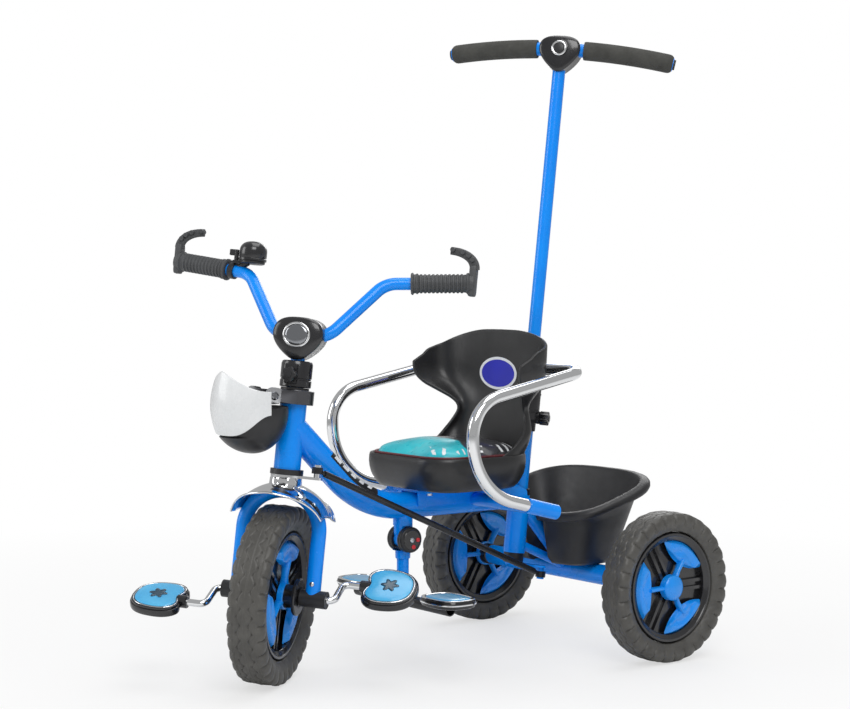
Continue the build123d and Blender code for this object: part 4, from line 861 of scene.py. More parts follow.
def mudguard():
    """Chromed guard over the fork's arch: rolled edge, flared front lip and the crown boss with two ribs."""
    rows = []
    for i in range(49):
        share = i / 48
        flare = 2.2 * smooth_step(share, 0.86, 1.0) + 1.4 * smooth_step(1 - share, 0.9, 1.0)
        row = []
        for k in range(57):
            theta = radians(21 + 138 * k / 56)
            round_share = abs(cos(theta)) ** 2.2
            front = 27 - 13 * round_share
            rear = -31 + 12 * round_share
            size = 60.9 + flare + 0.9 * bump_shape(theta, pi / 2, 0.16)
            row.append(hub_turned(size * cos(theta), 81 + size * sin(theta), rear + (front - rear) * share))
        rows.append(row)
    guard = piece("front_mudguard_shell", [grid_part(rows)], *on_steering, chrome, "chrome",
                  ("front_mudguard",))
    thicken(guard, 1.3)
    edge = rows[0] + [row[-1] for row in rows[1:-1]] + rows[-1][::-1] + [row[0] for row in rows[-2:0:-1]]
    roll = tube_part(edge, 1.3, 10, closed=True)
    piece("front_mudguard_rolled_edge", [roll], *on_steering, chrome, "chrome")
    half = 19
    rows = []
    for z, grow in ((132, 2.4), (136, 1.0), (139, 0.2), (143, 0), (146.6, -0.2), (148.0, -1.2)):
        row = []
        for x, y in superellipse(half, half, 3.2, 72):
            rib = 1.0
            if y < 0:
                rib += 0.13 * (bump_shape(x, -8.5, 5.0) + bump_shape(x, 8.5, 5.0))
            row.append((x * (1 + grow / half), y * (1 + grow / half) * rib, z))
        rows.append(row)
    piece("crown_boss", [closed_part(rows)], *on_steering, chrome, "chrome")


def fork_rivets():
    cap = lathe([(0, 0.01), (0, 3.2), (0.8, 2.9), (1.4, 1.8), (1.7, 0.01)], 24, "Z")
    parts = [moved_part(cap, moved(x, -9.3, 19) @ turned("X", 90)) for x in (-50, 50)]
    piece("fork_rivets", parts, *on_steering, steel, "steel")


CRANK_Y = 40 * cos(radians(28.5))
CRANK_Z = 40 * sin(radians(28.5))
PEDAL_X = 138.0
PEDAL_TILT = {"left": 36, "right": 24}


def crank_parts():
    """Bright bent rod: the axle, both cranks and the pedal spindles."""
    corners = [(-171, -CRANK_Y, -CRANK_Z), (-78, -CRANK_Y, -CRANK_Z), (-78, 0, 0), (78, 0, 0),
               (78, CRANK_Y, CRANK_Z), (171, CRANK_Y, CRANK_Z)]
    path = rounded_path(corners, [9, 9, 9, 9], 1.2)
    piece("crank_rod", [tube_part(path, 4.5, 28)], steering_place, "front_wheel", chrome, "chrome",
          ("crank_axle",))


def pedal_outline(shrink, count=96):
    """Apple shape: the notch faces the crank."""
    power = 2.35
    points = []
    for angle in angles(count):
        x = cos(angle)
        y = sin(angle)
        reach = (abs(x) ** power + abs(y) ** power) ** (-1 / power)
        notch = 0.25 * bump_shape(atan2(y, -x), 0, 0.42)
        lean = 1.0 - 0.07 * (1 + x) * abs(y)
        points.append(((37 - shrink) * reach * x * (1 - notch), (37.5 - shrink) * reach * y * lean))
    return points


def pedal(side):
    """Black pedal, bright bead, sky-blue pad with a six-petal rosette."""
    word = "left" if side > 0 else "right"
    name = word + "_pedal"
    spindle = moved(side * PEDAL_X, side * CRANK_Y, side * CRANK_Z)
    place = steering_place @ spindle @ turned("X", PEDAL_TILT[word]) @ mirrored(side)
    shell = [prism(pedal_outline(0), -6.5, 3.0, ease=2.2), prism(pedal_outline(1.8), 2.0, 6.0, ease=1.4),
             lathe([(-37, 4.7), (-37, 7.2), (-36, 8), (-24, 8), (-23, 7.2), (-23, 4.7)], 40, closed=True)]
    for y in (-16, -5.5, 5.5, 16):
        shell.append(prism([(-20, y - 1), (30, y - 1), (30, y + 1), (-20, y + 1)], -7.6, -6.0, ease=0.3))
    piece(name + "_shell", shell, place, name, black_gloss, "black_plastic", (name,))
    bead = [Vector((x, y, 5.6)) for x, y in pedal_outline(4.6, 120)]
    piece(name + "_bead", [tube_part(bead, 0.9, 10, closed=True)], place, name, chrome, "chrome")
    rows = [[(x * size, y * size, height) for x, y in pedal_outline(6.4)]
            for size, height in ((1.0, 5.2), (1.0, 6.4), (0.985, 7.0), (0.95, 7.3), (0.8, 7.7), (0.5, 8.0),
                                 (0.2, 8.1))]
    piece(name + "_top", [closed_part(rows)], place, name, pedal_blue, "teal_pad", (name + "_pad",))
    petals = [((9.6 + 2.4 * cos(6 * angle)) * cos(angle), (9.6 + 2.4 * cos(6 * angle)) * sin(angle))
              for angle in angles(72)]
    rows = [[(2 + x * size, y * size, height) for x, y in petals]
            for size, height in ((1.0, 7.2), (1.0, 8.6), (0.94, 9.0), (0.75, 9.2), (0.7, 8.7), (0.2, 8.6))]
    piece(name + "_rosette", [closed_part(rows)], place, name, rosette_dark, "black_plastic")


LAMP_Y = -522.0         # middle of the lamp's bowl
LENS_Y = -526.0         # back edge of the lens
LENS_FOOT = 316.7
LENS_HEIGHT = 80.0


def lens_depth(v):
    """How far the lens stands ahead at one share of its height."""
    return 39.4 + v + 8.4 * sin(pi * v) ** 0.9


def head_lamp():
    """White visor lens, open at its top, over a rounded black bowl."""
    def lens_point(u, v):
        x = 50 * sin(u * pi / 2)
        low = LENS_FOOT + 25.8 * (abs(x) / 50) ** 4.2
        high = LENS_FOOT + LENS_HEIGHT - 25.1 * (abs(x) / 50) ** 1.2
        return Vector((x, LENS_Y - lens_depth(v) * cos(u * pi / 2) ** 0.9, low + (high - low) * v))

    rows = [[lens_point(-1 + 2 * k / 64, i / 36) for k in range(65)] for i in range(37)]
    lens = piece("lamp_lens_visor", [grid_part(rows)], *on_frame, lens_white, "lamp_white", ("lamp_lens",))
    thicken(lens, 2.0)
    soften(lens, 0.6, 2)

    rows = []
    for i in range(27):
        z = 292.7 + 58 * (i / 26) ** 1.6
        size = sqrt(max(0.0, 1 - ((345 - z) / 52.3) ** 2)) if z < 345 else 1.0
        room = 99
        if z > 315:
            room = lens_depth(max(0.0, (z - LENS_FOOT) / LENS_HEIGHT)) - 3.6 + LAMP_Y - LENS_Y
        row = []
        for angle in angles(96):
            reach = min(53 * size, room) if sin(angle) < 0 else 42 * size
            row.append((48.4 * max(size, 0.02) * cos(angle), LAMP_Y + max(reach, 0.8) * sin(angle), z))
        rows.append(row)
    rim = rows[-1]
    for size, height in ((0.93, 350.2), (0.90, 346.5)):
        rows.append([(x * size, LAMP_Y + (y - LAMP_Y) * size, height) for x, y, z in rim])
    piece("lamp_bowl_shell", [closed_part(rows)], *on_frame, black_satin, "black_plastic",
          ("lamp_bucket",))


def lamp_bracket():
    """Clamp band on the head tube, two arms ahead of it and bright lugs with dark screws."""
    band = [(240, 17.2), (240, 24.2), (240.8, 25), (257.2, 25), (258, 24.2), (258, 17.2)]
    outline = [(-42, 241.5), (-40, 240.6), (-10, 240), (-10, 256), (-40, 256), (-42, 255)]
    tab = arc(-46, 248, 10.5, 90, 270, 24) + [(-38, 238.4), (-36.5, 241), (-36.5, 255.5), (-38, 257.8)]
    cap = [(26.3, 0.01), (26.3, 5.2), (27.2, 5.6), (28.6, 5.0), (29.2, 3.6), (28.7, 3.2), (28.7, 0.01)]
    parts = [lathe(band, 64, "Z", closed=True)]
    lugs = []
    heads = []
    for side in (-1, 1):
        stand = across(side * 22)
        parts.append(prism(outline, -3, 3, stand, 0.8))
        low, high = sorted((side * 3.1, side * 4.4))
        lugs.append(prism(tab, low, high, stand, 0.3))
        lugs.append(prism(tab, -1.5, 1.5, stand, 0.3))
        heads.append(moved_part(lathe([(side * x, r) for x, r in cap], 32), moved(0, -46, 248)))
    piece("lamp_bracket_form", parts, head_place, "frame", plated_smoke, "steel", ("lamp_bracket",))
    piece("lamp_bracket_lugs", lugs, head_place, "frame", steel, "steel", ("lamp_bracket",))
    piece("lamp_bracket_screws", heads, head_place, "frame", plated_dark, "steel", ("lamp_screws",))


def stem_clamp():
    """Clamp collar with raised bands, split ears and a lobed knob."""
    profile = [(261.4, 11.3), (261.4, 19), (262.4, 20), (270, 20), (270.8, 19.2), (272.4, 19.2), (273.2, 20),
               (291, 20), (294, 18.8), (295, 17), (295, 9.3)]
    ears = prism([(-8, -23), (8, -23), (8, -14), (-8, -14)], 265.5, 290.5, ease=1.2)
    piece("stem_clamp_collar", [lathe(profile, 72, "Z", closed=True), ears], *on_steering, black_gloss,
          "black_plastic", ("stem_clamp",))
    place = moved(0, -23.3, 277) @ turned("X", 90)
    piece("stem_clamp_star_knob", star_knob(10.2, 8, 5, place), steering_place, "stem_knob", black_satin,
          "black_plastic", ("stem_knob",))


def star_knob(radius, height, lobes, place):
    """Lobed knob on its stud, with a small boss on top."""
    outline = []
    for angle in angles(lobes * 16):
        reach = radius - 1.3 + 1.3 * cos(lobes * angle)
        outline.append((reach * cos(angle), reach * sin(angle)))
    boss = lathe([(height - 0.5, 0.01), (height - 0.5, 4.6), (height + 1.0, 4.0), (height + 1.2, 0.01)], 32,
                 "Z")
    stud = lathe([(-6.5, 0.01), (-6.5, 2.9), (0.5, 2.9), (0.5, 0.01)], 24, "Z")
    return [prism(outline, 0, height, place, 1.2), moved_part(boss, place), moved_part(stud, place)]


# ---------------------------------------------------------------- push pole's lock
POLE_LOCK_KNOB = 205.5  # height of the lock's knob on the pole


def pole_lock():
    """Sleeve with a flared head and two raised bands, and its lobed knob."""
    profile = [(186, 11.2), (186, 12.8), (187, 13.6), (198, 13.8), (201, 16.2), (203, 17), (243, 17),
               (246, 16.4),
               (249, 14.4), (249, 9.2)]
    boss = lathe([(5, 0.01), (15, 8.6), (18.4, 8.6), (18.6, 8), (18.6, 0.01)], 40)
    parts = [lathe(profile, 72, "Z", closed=True), moved_part(boss, moved(0, 0, POLE_LOCK_KNOB))]
    for z in (212, 236):
        parts.append(lathe([(z, 16.9), (z + 0.4, 17.6), (z + 2.6, 17.6), (z + 3, 16.9)], 64, "Z"))
    piece("pole_lock_sleeve", parts, pole_place, "push_tube", black_satin, "black_plastic", ("pole_lock",))
    place = moved(18.8, 0, POLE_LOCK_KNOB) @ turned("Y", 90)
    piece("pole_lock_star_knob", star_knob(9.6, 13, 6, place), pole_place, "pole_knob", black_gloss,
          "black_plastic",
          ("pole_knob",))


# ---------------------------------------------------------------- seat
LABEL_X = -3.0
LABEL_Z = 381.0
SEAT_REAR = -120.8
PAN_FRONT = -302.0
PAN_HALF = 96.0
BACK_WALL = 5.0
BACK_FOOT = 262.0
# seat back's outside at rising heights: height, half width, y of the wings' edges, squareness
BACK_EDGE = [(262, 94, -212, 2.4), (276, 90, -195, 2.5), (288, 88, -172, 2.6), (305, 85.5, -154, 2.8),
             (320, 77.7, -146, 3.0), (331, 73, -143, 3.0), (341, 76, -148, 3.1), (352, 89.5, -161, 3.5),
             (365, 107.5, -177, 4.1), (380, 116.5, -186.5, 4.5), (400, 119.5, -186.5, 4.5), (446, 121, -180,
                                                                                             4.5)]
# height of its upper edge, from the middle (0) to a wing's tip (1)
BACK_TOP = [(0, 441.5), (0.054, 440.6), (0.226, 435), (0.46, 427.5), (0.65, 421.5), (0.85, 416), (0.95, 410),
            (1.0, 396)]


def table_value(table, key, column):
    """Smooth value between the rows of a table whose first column rises."""
    k = 0
    while k < len(table) - 2 and key > table[k + 1][0]:
        k += 1
    before, low, high, after = (table[min(max(j, 0), len(table) - 1)] for j in (k - 1, k, k + 1, k + 2))
    width = high[0] - low[0]
    slope_low = (high[column] - before[column]) / (high[0] - before[0])
    slope_high = (after[column] - low[column]) / (after[0] - low[0])
    t = min(1.0, max(0.0, (key - low[0]) / width))
    return ((2 * t ** 3 - 3 * t ** 2 + 1) * low[column] + (t ** 3 - 2 * t ** 2 + t) * width * slope_low
            + (3 * t ** 2 - 2 * t ** 3) * high[column] + (t ** 3 - t ** 2) * width * slope_high)


def back_outline(z):
    """Half width, wings' edge and squareness of the seat back at one height."""
    return [table_value(BACK_EDGE, z, column) for column in (1, 2, 3)]


def back_point(across_share, up):
    """Point of the seat back's outside, from one wing (-1) round to the other (1)."""
    side = abs(across_share) ** 1.5
    z = BACK_FOOT + (table_value(BACK_TOP, side, 1) - BACK_FOOT) * up
    half, edge, square = back_outline(z)
    turn = side * pi / 2
    x = half * sin(turn) ** (2 / square)
    y = SEAT_REAR - (SEAT_REAR - edge) * (1 - max(0.0, cos(turn)) ** (2 / square))
    return Vector((x if across_share > 0 else -x, y, z))


def pan_loop(grow, z, count=96):
    """Closed loop of the seat pan, with rounded corners."""
    half = PAN_HALF + grow
    low = PAN_FRONT - grow
    high = SEAT_REAR + grow
    loop = []
    for start, x_side, y_side, corner in ((0, 1, 1, 72), (90, -1, 1, 72), (180, -1, -1, 50), (270, 1, -1, 50)):
        corner = corner + grow
        cx = x_side * (half - corner)
        cy = high - corner if y_side > 0 else low + corner
        loop += [(x, y, z) for x, y in arc(cx, cy, corner, start, start + 90, count // 4)]
    return loop


def seat_shell():
    """Moulded shell: dished pan and a wrap-round back with a narrow waist."""
    profile = [(-40, 232.4), (-20, 232), (-15, 233), (-10.5, 237), (-6.5, 243), (-3, 250), (-0.8, 258),
               (0, 266),
               (-0.4, 273), (-1.2, 276), (-2.4, 277.2), (-4, 277), (-5.4, 275.4), (-6.5, 271), (-8.5, 256),
               (-11, 246), (-16, 239.6), (-30, 236.6), (-60, 236.4)]
    pan = closed_part([pan_loop(grow, z) for grow, z in profile])
    piece("seat_pan_shell", [pan], *on_frame, seat_plastic, "black_plastic", ("seat_shell",))
    rows = [[back_point(-1 + 2 * k / 96, i / 36) for k in range(97)] for i in range(37)]
    back = piece("seat_back_shell", [grid_part(rows)], *on_frame, seat_plastic, "black_plastic",
                 ("seat_shell",), smooth=45)
    thicken(back, BACK_WALL)
    soften(back, 2.1, 4)


def back_surface(x, z):
    """Point of the seat back's outside at one x and height."""
    half, edge, square = back_outline(z)
    share = max(0.0, 1 - (abs(x) / half) ** square)
    return Vector((x, SEAT_REAR - (SEAT_REAR - edge) * (1 - share ** (1 / square)), z))


def back_label(width, height, rise, name, material, slot):
    """Oval skin that lies on the inside of the seat back; half width and half height."""
    rows = []
    for ring in range(9):
        row = []
        for angle in angles(64):
            x = LABEL_X + width * ring / 8 * cos(angle)
            z = LABEL_Z + height * ring / 8 * sin(angle)
            here = back_surface(x, z)
            normal = (back_surface(x + 1, z) - here).cross(back_surface(x, z + 1) - here).normalized()
            row.append(here + normal * (BACK_WALL + rise))
        rows.append(row)
    piece(name, [grid_part(rows, closed_columns=True)], *on_frame, material, slot)


def seat_label():
    """Plain oval sticker on the seat back: blue with a white rim."""
    back_label(40, 22.5, 0.3, "seat_label_rim", label_white, "lamp_white")
    back_label(35, 18.8, 0.6, "seat_label_field", label_blue, "blue_plastic")


TUBE_RADIUS = 17.5
TUBE_BEND = 150.0
TUBE_CENTRE = (-289.9, 361.0)   # y and z of the bend's centre


def tube_point(along, around, rise):
    """Point on the main tube's skin; along runs backwards from the head in millimetres round the bend."""
    angle = radians(-135) + along / TUBE_BEND
    spread = TUBE_BEND - (TUBE_RADIUS + rise) * sin(radians(around))
    y = TUBE_CENTRE[0] + spread * cos(angle)
    z = TUBE_CENTRE[1] + spread * sin(angle)
    if along < 0:
        y = TUBE_CENTRE[0] + spread * cos(radians(-135)) + along * cos(radians(45))
        z = TUBE_CENTRE[1] + spread * sin(radians(-135)) - along * sin(radians(45))
    return Vector(((TUBE_RADIUS + rise) * cos(radians(around)), y, z))


def tube_patch(start, end, low, high, lean, rise):
    """Skin patch with slanted ends."""
    rows = []
    for i in range(25):
        row = []
        for k in range(13):
            around = low + (high - low) * k / 12
            shift = lean * (k / 12 - 0.5)
            row.append(tube_point(start + (end - start) * i / 24 + shift, around, rise))
        rows.append(row)
    return grid_part(rows)


def tube_stripes():
    """Generic transfer on the upper side of the main tube: a dark band with white bars."""
    band = tube_patch(-33, 62, 20, 86, 5, 0.25)
    piece("tube_band", [band], *on_frame, black_satin, "black_plastic")
    bars = []
    for k in range(5):
        start = -26 + 17.5 * k
        bars.append(tube_patch(start, start + 12.5 - 1.2 * k, 30 + 3 * k, 76 - k, 7, 0.5))
    piece("tube_bars", bars, *on_frame, label_white, "lamp_white")


CUSHION_FOOT = 236.9    # just above the pan's upper side
CUSHION_TOP = 297.0
CUSHION_MIDDLE = -211.0


def cushion():
    """Vinyl cushion with a sewn edge, swelled by a cloth simulation."""
    loops = [(-34, 237.6), (-22, 237.6), (-15, 240), (-12.5, 248), (-11.5, 262), (-11, 274), (-13, 281),
             (-18, 285.5), (-28, 288.5), (-44, 290), (-64, 290.5)]
    part = closed_part([pan_loop(grow, z) for grow, z in loops])
    pad = piece("seat_cushion_pad", [part], *on_frame, cushion_vinyl, "cushion_vinyl", ("seat_cushion",))
    remesh = pad.modifiers.new("even", "REMESH")
    remesh.mode = "VOXEL"
    remesh.voxel_size = 4.5 * MM
    settle(pad)
    swell(pad, pressure=4.0, frames=20, cap=6.5)
    low = chassis_place @ Vector((0, CUSHION_MIDDLE, CUSHION_FOOT))
    high = chassis_place @ Vector((0, CUSHION_MIDDLE, CUSHION_TOP))
    for vertex in pad.data.vertices:
        inwards = pan_room(vertex.co)
        vertex.co.x *= inwards
        vertex.co.y = low.y + (vertex.co.y - low.y) * inwards
        vertex.co.z = min(max(vertex.co.z, low.z), high.z)
    finer = pad.modifiers.new("smooth", "SUBSURF")
    finer.levels = 1
    finer.render_levels = 1
    settle(pad)
    pad.data.shade_smooth()

    line = [Vector(p) for p in pan_loop(-9.2, 277.6, 128)]
    piece("cushion_piping", [tube_part(line, 1.9, 16, closed=True)], *on_frame, piping_red,
          "cushion_vinyl", ("seat_cushion",))


def pan_room(point):
    """Share by which a point of the cushion must move inwards to stay inside the pan's walls."""
    local = chassis_place.inverted() @ point
    slack = 4 * smooth_step(local.z, 276, 282) - 8
    middle = (SEAT_REAR + PAN_FRONT) / 2
    limit_x = PAN_HALF + slack
    limit_y = (SEAT_REAR - PAN_FRONT) / 2 + slack
    reach = ((abs(local.x) / limit_x) ** 3.6 + (abs(local.y - middle) / limit_y) ** 3.6) ** (1 / 3.6)
    return 1.0 if reach < 1 else 1 / reach


def settle(obj):
    """Bakes an object's modifiers into its mesh."""
    graph = bpy.context.evaluated_depsgraph_get()
    baked = bpy.data.meshes.new_from_object(obj.evaluated_get(graph))
    materials = list(obj.data.materials)
    obj.modifiers.clear()
    obj.data = baked
    baked.materials.clear()
    for material in materials:
        baked.materials.append(material)


def swell(obj, pressure, frames, cap):
    """Cloth under air pressure for a few frames; no point moves more than the cap, in millimetres."""
    before = [vertex.co.copy() for vertex in obj.data.vertices]
    cloth = obj.modifiers.new("padding", "CLOTH")
    cloth.settings.use_pressure = True
    cloth.settings.uniform_pressure_force = pressure
    cloth.settings.mass = 0.3
    cloth.settings.tension_stiffness = 18
    cloth.settings.compression_stiffness = 12
    cloth.settings.bending_stiffness = 0.8
    cloth.settings.effector_weights.gravity = 0
    cloth.point_cache.frame_end = frames
    scene = bpy.context.scene
    for frame_number in range(1, frames + 1):
        scene.frame_set(frame_number)
    settle(obj)
    for vertex, start in zip(obj.data.vertices, before):
        move = vertex.co - start
        if move.length > cap * MM:
            vertex.co = start + move * (cap * MM / move.length)
    scene.frame_set(1)


# ---------------------------------------------------------------- basket
BASKET_MIDDLE = -8.0
BASKET_FOOT = 114.3
BASKET_COLUMNS = 144


def basket_loop_point(angle, share, grow):
    """Point of the basket's wall: share 0 at the floor, 1 at the height where the walls would end."""
    half_x = 72 + 54 * share
    low = -52 - 32 * share
    high = 36 + 36 * share
    power = 2 / (3.6 - 0.7 * share)
    x = (half_x + grow) * signed_power(cos(angle), power)
    y = (low + high) / 2 + ((high - low) / 2 + grow) * signed_power(sin(angle), power)
    return Vector((x, y, BASKET_FOOT + 137.7 * share))


def basket_rim_share(angle):
    """Share of the wall's height where the slanted rim cuts it."""
    low, high = 0.0, 1.2
    for _ in range(24):
        middle = (low + high) / 2
        point = basket_loop_point(angle, middle, 0)
        if point.z < 213 + 0.364 * (point.y + 5):
            low = middle
        else:
            high = middle
    return low


def clear_of_brace(point):
    """Keeps the basket's front wall behind the sloping brace."""
    along = Vector((0, 84.03, -96)).normalized()
    normal = Vector((0, -along.z, along.y))
    away = (Vector((0, point.y, point.z)) - Vector((0, -86.03, 199))).dot(normal)
    need = 13.6 * sqrt(max(0.0, 1 - (point.x / 19) ** 2)) + 0.4
    if abs(point.x) < 19 and away < need:
        return point + normal * (need - away)
    return point


def basket():
    """Deep tub with rounded corners and a broad rolled rim, lower in front."""
    columns = [(angle, basket_rim_share(angle)) for angle in angles(BASKET_COLUMNS)]

    def floor_row(size, lift):
        middle = Vector((0, BASKET_MIDDLE, BASKET_FOOT + lift))
        row = []
        for angle, rim_share in columns:
            edge = basket_loop_point(angle, 0, 0)
            row.append(middle + Vector((edge.x, edge.y - BASKET_MIDDLE, 0)) * size)
        return row

    def wall_row(share, grow, lift=0.0):
        return [basket_loop_point(angle, share * rim_share, grow) + Vector((0, 0, lift))
                for angle, rim_share in columns]

    rim = [(-13, 0.2), (-12.6, 6.5), (-11.5, 9.6), (-8.0, 11.2), (-4.0, 11.0), (-1.4, 9.4), (0.0, 6.0),
           (0.4, 2.0),
           (0.0, -1.2), (-1.2, -2.6), (-4.5, -3.2)]
    rows = [floor_row(size, lift) for size, lift in ((0.02, 0.0), (0.5, 0.0), (0.86, 0.0), (0.94, 0.5),
                                                     (0.985, 2.6))]
    rows += [wall_row(share, 0) for share in (0.05, 0.12, 0.25, 0.4, 0.55, 0.7, 0.82)]
    rows += [wall_row(1, grow, lift) for lift, grow in rim]
    rows += [wall_row(share, -3) for share in (0.85, 0.7, 0.55, 0.4, 0.25, 0.12, 0.055)]
    rows += [floor_row(size, lift) for size, lift in ((0.93, 5.0), (0.88, 3.4), (0.8, 3.0), (0.5, 3.0),
                                                      (0.02, 3.0))]
    rows = [[clear_of_brace(point) for point in row] for row in rows]
    piece("basket_tub", [closed_part(rows)], *on_frame, basket_plastic, "black_plastic", ("basket",),
          smooth=60)


# ---------------------------------------------------------------- footrest
FOOT_Y = -291.0
FOOT_PIVOT = 167.0
FOOT_BAR = 86.0
FOOT_PAD_X = 95.0
FOOT_PAD_WIDTH = 75.0
FOOT_PAD_LENGTH = 58.0


def foot_piece(name, parts, place, material, slot, stands_for=()):
    """Piece of the footrest, from parts drawn round one point of the chassis frame."""
    piece(name, parts, chassis_place @ place, "footrest", material, slot, stands_for)


def ribbed_cheek(start, end, ribs):
    """Half of the footrest's drum: a disc with ribs round it, from its inner to its outer face."""
    outward = 1 if end > start else -1
    width = (abs(end - start) - 2.4) / ribs
    steps = [(start, 4.3), (start, 16.4), (start + outward * 0.6, 17)]
    for k in range(ribs):
        at = start + outward * (0.6 + width * k)
        steps += [(at + outward * width * 0.72, 17), (at + outward * width * 0.78, 16.3),
                  (at + outward * width * 0.94, 16.3), (at + outward * width, 17)]
    steps += [(end - outward * 1.2, 16.9), (end - outward * 0.4, 16.2), (end, 14.8), (end, 4.3)]
    return lathe(steps, 72, closed=True)


def foot_oval(grow, z):
    """Loop of a footrest pad, larger or smaller by grow."""
    return [((FOOT_PAD_WIDTH / 2 + grow) * signed_power(cos(angle), 0.72),
             2 + (FOOT_PAD_LENGTH / 2 + grow) * signed_power(sin(angle), 0.72), z) for angle in angles(88)]


def footrest():
    """Fold-up footrest: ribbed drum with its dial, blue post, and oval pads with bright rims and blue tops."""
    hinge = moved(0, FOOT_Y, FOOT_PIVOT)
    bridge = prism(arc(0, 0, 16.2, 218, 322, 24) + arc(0, 0, 13.9, 322, 218, 24), -2.8, 9.8, across(0), 0.2)
    foot_piece("footrest_drum_form", [ribbed_cheek(-2.8, -13, 3), ribbed_cheek(9.8, 20, 2), bridge], hinge,
               black_satin, "black_plastic", ("footrest_drum",))
    dial = lathe([(20, 0.01), (20, 12.6), (20.2, 13), (20.6, 12.6), (20.6, 0.01)], 56)
    foot_piece("footrest_dial", [dial], hinge, black_gloss, "black_plastic")
    screw = lathe([(20.4, 3.4), (21.4, 3.2), (21.8, 2.4), (21.8, 1.2), (21.2, 1.0), (21.2, 0.01)], 24)
    foot_piece("footrest_dial_screw", [screw], hinge, steel, "steel")
    button = lathe([(20.4, 3.0), (21.6, 2.9), (22.3, 2.2), (22.5, 1.0), (22.5, 0.01)], 28)
    buttons = [moved_part(button, moved(0, y, z)) for y, z in ((9.4, -0.4), (2.4, -9.4))]
    foot_piece("footrest_dial_buttons", buttons, hinge, dot_red, "charcoal_plastic")

    keel = lathe([(-14.6, 13.7), (-14.6, 8.4), (-26, 8.4), (-26, 9.6), (-24.6, 10), (-15.5, 10.2)], 48, "Z",
                 closed=True)
    stem = rod_part(8.0, (0, 0, FOOT_BAR - FOOT_PIVOT), (0, 0, -15), 48)
    foot_piece("footrest_stem", [stem, keel], hinge, blue_paint, "blue_paint", ("footrest_post",))
    half = FOOT_PAD_X + 8
    bar = lathe([(-half, 6.4), (-half, 7.6), (0.4 - half, 8), (half - 0.4, 8), (half, 7.6), (half, 6.4)], 48,
                closed=True)
    foot_piece("footrest_cross_bar", [bar], moved(0, FOOT_Y, FOOT_BAR), black_satin, "black_plastic",
               ("footrest_post",))

    body = [(-14, -3.4), (-3.0, -3.4), (-1.6, -2.6), (-0.8, -0.5), (0, 1.0), (0, 3.6), (-0.4, 5.4), (-1.2, 6.6),
            (-2.6, 7.0), (-5.4, 7.0), (-6.2, 6.2), (-6.4, 5.0), (-20, 5.0)]
    top = [(-6.6, 5.3), (-6.6, 7.2), (-7.4, 8.0), (-10, 8.5), (-17, 8.9), (-22, 9.0)]
    band = [(-0.4, 1.2), (0.5, 1.3), (0.8, 2.2), (0.5, 3.2), (-0.4, 3.3)]
    rim = [(-2.4, 6.8), (-1.2, 7.2), (-1.4, 8.0), (-3.4, 8.4), (-5.6, 8.0), (-6.0, 6.9)]
    body, top, band, rim = ([foot_oval(grow, z) for grow, z in line] for line in (body, top, band, rim))
    bright = [grid_part(rows, closed_rows=True, closed_columns=True) for rows in (band, rim)]
    for side, word in ((1, "left"), (-1, "right")):
        place = moved(side * FOOT_PAD_X, FOOT_Y, FOOT_BAR + 8)
        foot_piece(word + "_footrest_pad_shell", [closed_part(body)], place, black_gloss, "black_plastic",
                   ("footrest_pads",))
        foot_piece(word + "_footrest_bright_rims", bright, place, chrome, "chrome", ("footrest_pads",))
        foot_piece(word + "_footrest_blue_top", [closed_part(top)], place, pedal_blue, "teal_pad",
                   ("footrest_inserts",))


# ---------------------------------------------------------------- stage, light and camera
FLOOR_SIZE = 12.0
FLOOR_DROP = 0.5 * MM   # the tyres' tread stands this far below the CAD's floor


def stage():
    """Pale floor that glows towards the white surroundings, and a plain white world."""
    mesh = bpy.data.meshes.new("studio_floor")
    corners = [(x * FLOOR_SIZE, y * FLOOR_SIZE, -FLOOR_DROP) for x, y in ((-1, -1), (1, -1), (1, 1), (-1, 1))]
    mesh.from_pydata(corners, [], [(0, 1, 2, 3)])
    studio = bpy.data.objects.new("studio_floor", mesh)
    bpy.context.scene.collection.objects.link(studio)
    s = Shader("studio_white")
    s.surface(roughness=0.9)
    s.main.inputs["Base Color"].default_value = (0.86, 0.86, 0.86, 1)
    light_path = s.add("ShaderNodeLightPath")
    glow = s.add("ShaderNodeEmission", Strength=1.0)
    far = s.add("ShaderNodeVectorMath", operation="LENGTH")
    s.link(s.place, far, 0)

    def blended(factor, first, second):
        node = s.add("ShaderNodeMixShader")
        for socket, output in enumerate((factor, first, second)):
            s.link(output, node, socket)
        return node.outputs[0]

    white = s.main.outputs[0]
    seen = blended(s.spread(far.outputs["Value"], 0.45, 1.5, 0.62, 1.0), white, glow.outputs[0])
    choice = blended(light_path.outputs["Is Camera Ray"], white, seen)
    s.link(choice, s.nodes["Material Output"], "Surface")
    mesh.materials.append(s.material)

    world = bpy.data.worlds.new("studio_world")
    bpy.context.scene.world = world
    world.use_nodes = True
    nodes = world.node_tree.nodes
    links = world.node_tree.links
    background = nodes["Background"]
    background.inputs["Color"].default_value = (1, 1, 1, 1)
    rays = nodes.new("ShaderNodeLightPath")
    either = nodes.new("ShaderNodeMath")
    either.operation = "MAXIMUM"
    strength = nodes.new("ShaderNodeMapRange")
    strength.inputs["To Min"].default_value = 0.42
    strength.inputs["To Max"].default_value = 1.0
    links.new(rays.outputs["Is Camera Ray"], either.inputs[0])
    links.new(rays.outputs["Is Transmission Ray"], either.inputs[1])
    links.new(either.outputs[0], strength.inputs["Value"])
    links.new(strength.outputs["Result"], background.inputs["Strength"])


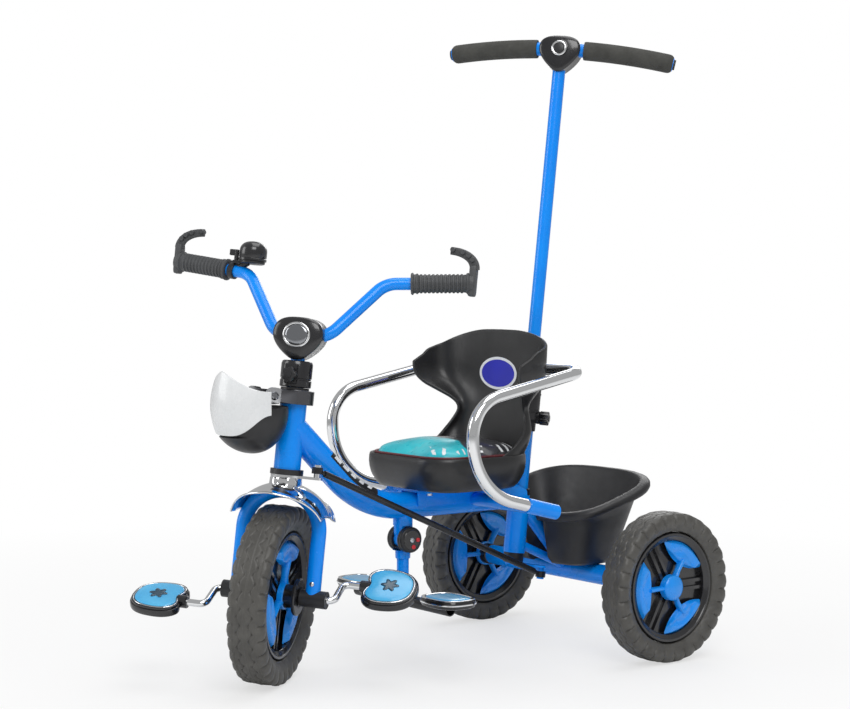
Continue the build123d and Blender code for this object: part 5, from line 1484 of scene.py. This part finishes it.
def area_light(name, place, aim, size, power):
    light = bpy.data.lights.new(name, "AREA")
    light.shape = "RECTANGLE"
    light.size, light.size_y = size
    light.energy = power
    lamp = bpy.data.objects.new(name, light)
    lamp.location = place
    lamp.rotation_euler = (Vector(aim) - Vector(place)).to_track_quat("-Z", "Y").to_euler()
    bpy.context.scene.collection.objects.link(lamp)


def lights():
    middle = (0, 0, 0.4)
    area_light("key_softbox", (2.2, -1.2, 2.4), middle, (1.6, 1.6), 42)
    area_light("fill_softbox", (-1.6, -2.6, 1.4), middle, (1.4, 1.8), 24)
    area_light("top_softbox", (0.2, 0.4, 2.8), middle, (2.2, 1.6), 26)
    area_light("back_softbox", (-1.6, 2.2, 1.6), middle, (1.6, 1.2), 16)


VIEW_AZIMUTH = radians(52.92)
VIEW_ELEVATION = radians(2.13)
VIEW_DISTANCE = 2.3993
VIEW_TARGET = (-5.5, -250, 409.4)
FOCAL_LENGTH = 76.17


def camera():
    """The viewing angle: a little above level, from the rider's left and ahead."""
    level = cos(VIEW_ELEVATION)
    back = Vector((sin(VIEW_AZIMUTH) * level, -cos(VIEW_AZIMUTH) * level, sin(VIEW_ELEVATION)))
    right = Vector((cos(VIEW_AZIMUTH), sin(VIEW_AZIMUTH), 0))
    rotation = Matrix((right, back.cross(right), back)).transposed().to_4x4()
    lens_data = bpy.data.cameras.new("view_camera")
    lens_data.sensor_width = 36
    lens_data.lens = FOCAL_LENGTH
    lens_data.clip_end = 50
    view = bpy.data.objects.new("view_camera", lens_data)
    eye = chassis_place @ Vector(VIEW_TARGET) + back * VIEW_DISTANCE
    view.matrix_world = Matrix.Translation(eye) @ rotation
    bpy.context.scene.collection.objects.link(view)
    bpy.context.scene.camera = view


# ---------------------------------------------------------------- CAD nodes that keep their form
def dress_nodes():
    """Materials on the CAD nodes; nodes replaced later are hidden by their pieces."""
    finishes = (
        (blue_paint, "head_tube main_tube pole_column frame_brace axle_beam rail_sockets seat_bracket fork "
                     "footrest_bracket footrest_post handlebar push_pole pole_tube"),
        (chrome, "guard_rail front_mudguard steering_arm crank_axle stem_badge"),
        (steel, "rear_axle seat_screws basket_screws lamp_screws lamp_bracket"),
        (black_satin,
         "headset_bushes column_bushes rear_axle_bushes axle_bushes pole_lock pole_knob stem_clamp "
                      "stem_knob bell_clamp bell_lever lamp_bucket footrest_drum footrest_pads handle_cap stem_cap "
                      "left_pedal right_pedal seat_shell basket bell_dome"),
        (rod_black, "steering_rod"),
        (foam_grip, "handle_grips handlebar_grips"),
        (teal_pad, "left_pedal_pad right_pedal_pad footrest_inserts seat_cushion"),
        (lens_white, "lamp_lens"),
    )
    for material, names in finishes:
        for name in names.split():
            mesh = frame["nodes"][name].data
            mesh.materials.clear()
            mesh.materials.append(material)


dress_nodes()
wheels()
guard_rail()
handlebar()
push_handle()
handle_cap()
stem_cap()
handlebar_grips()
bell()
mudguard()
fork_rivets()
crank_parts()
pedal(1)
pedal(-1)
head_lamp()
lamp_bracket()
stem_clamp()
pole_lock()
seat_shell()
seat_label()
tube_stripes()
cushion()
basket()
footrest()
stage()
lights()
camera()

bpy.context.scene.view_settings.view_transform = "Standard"
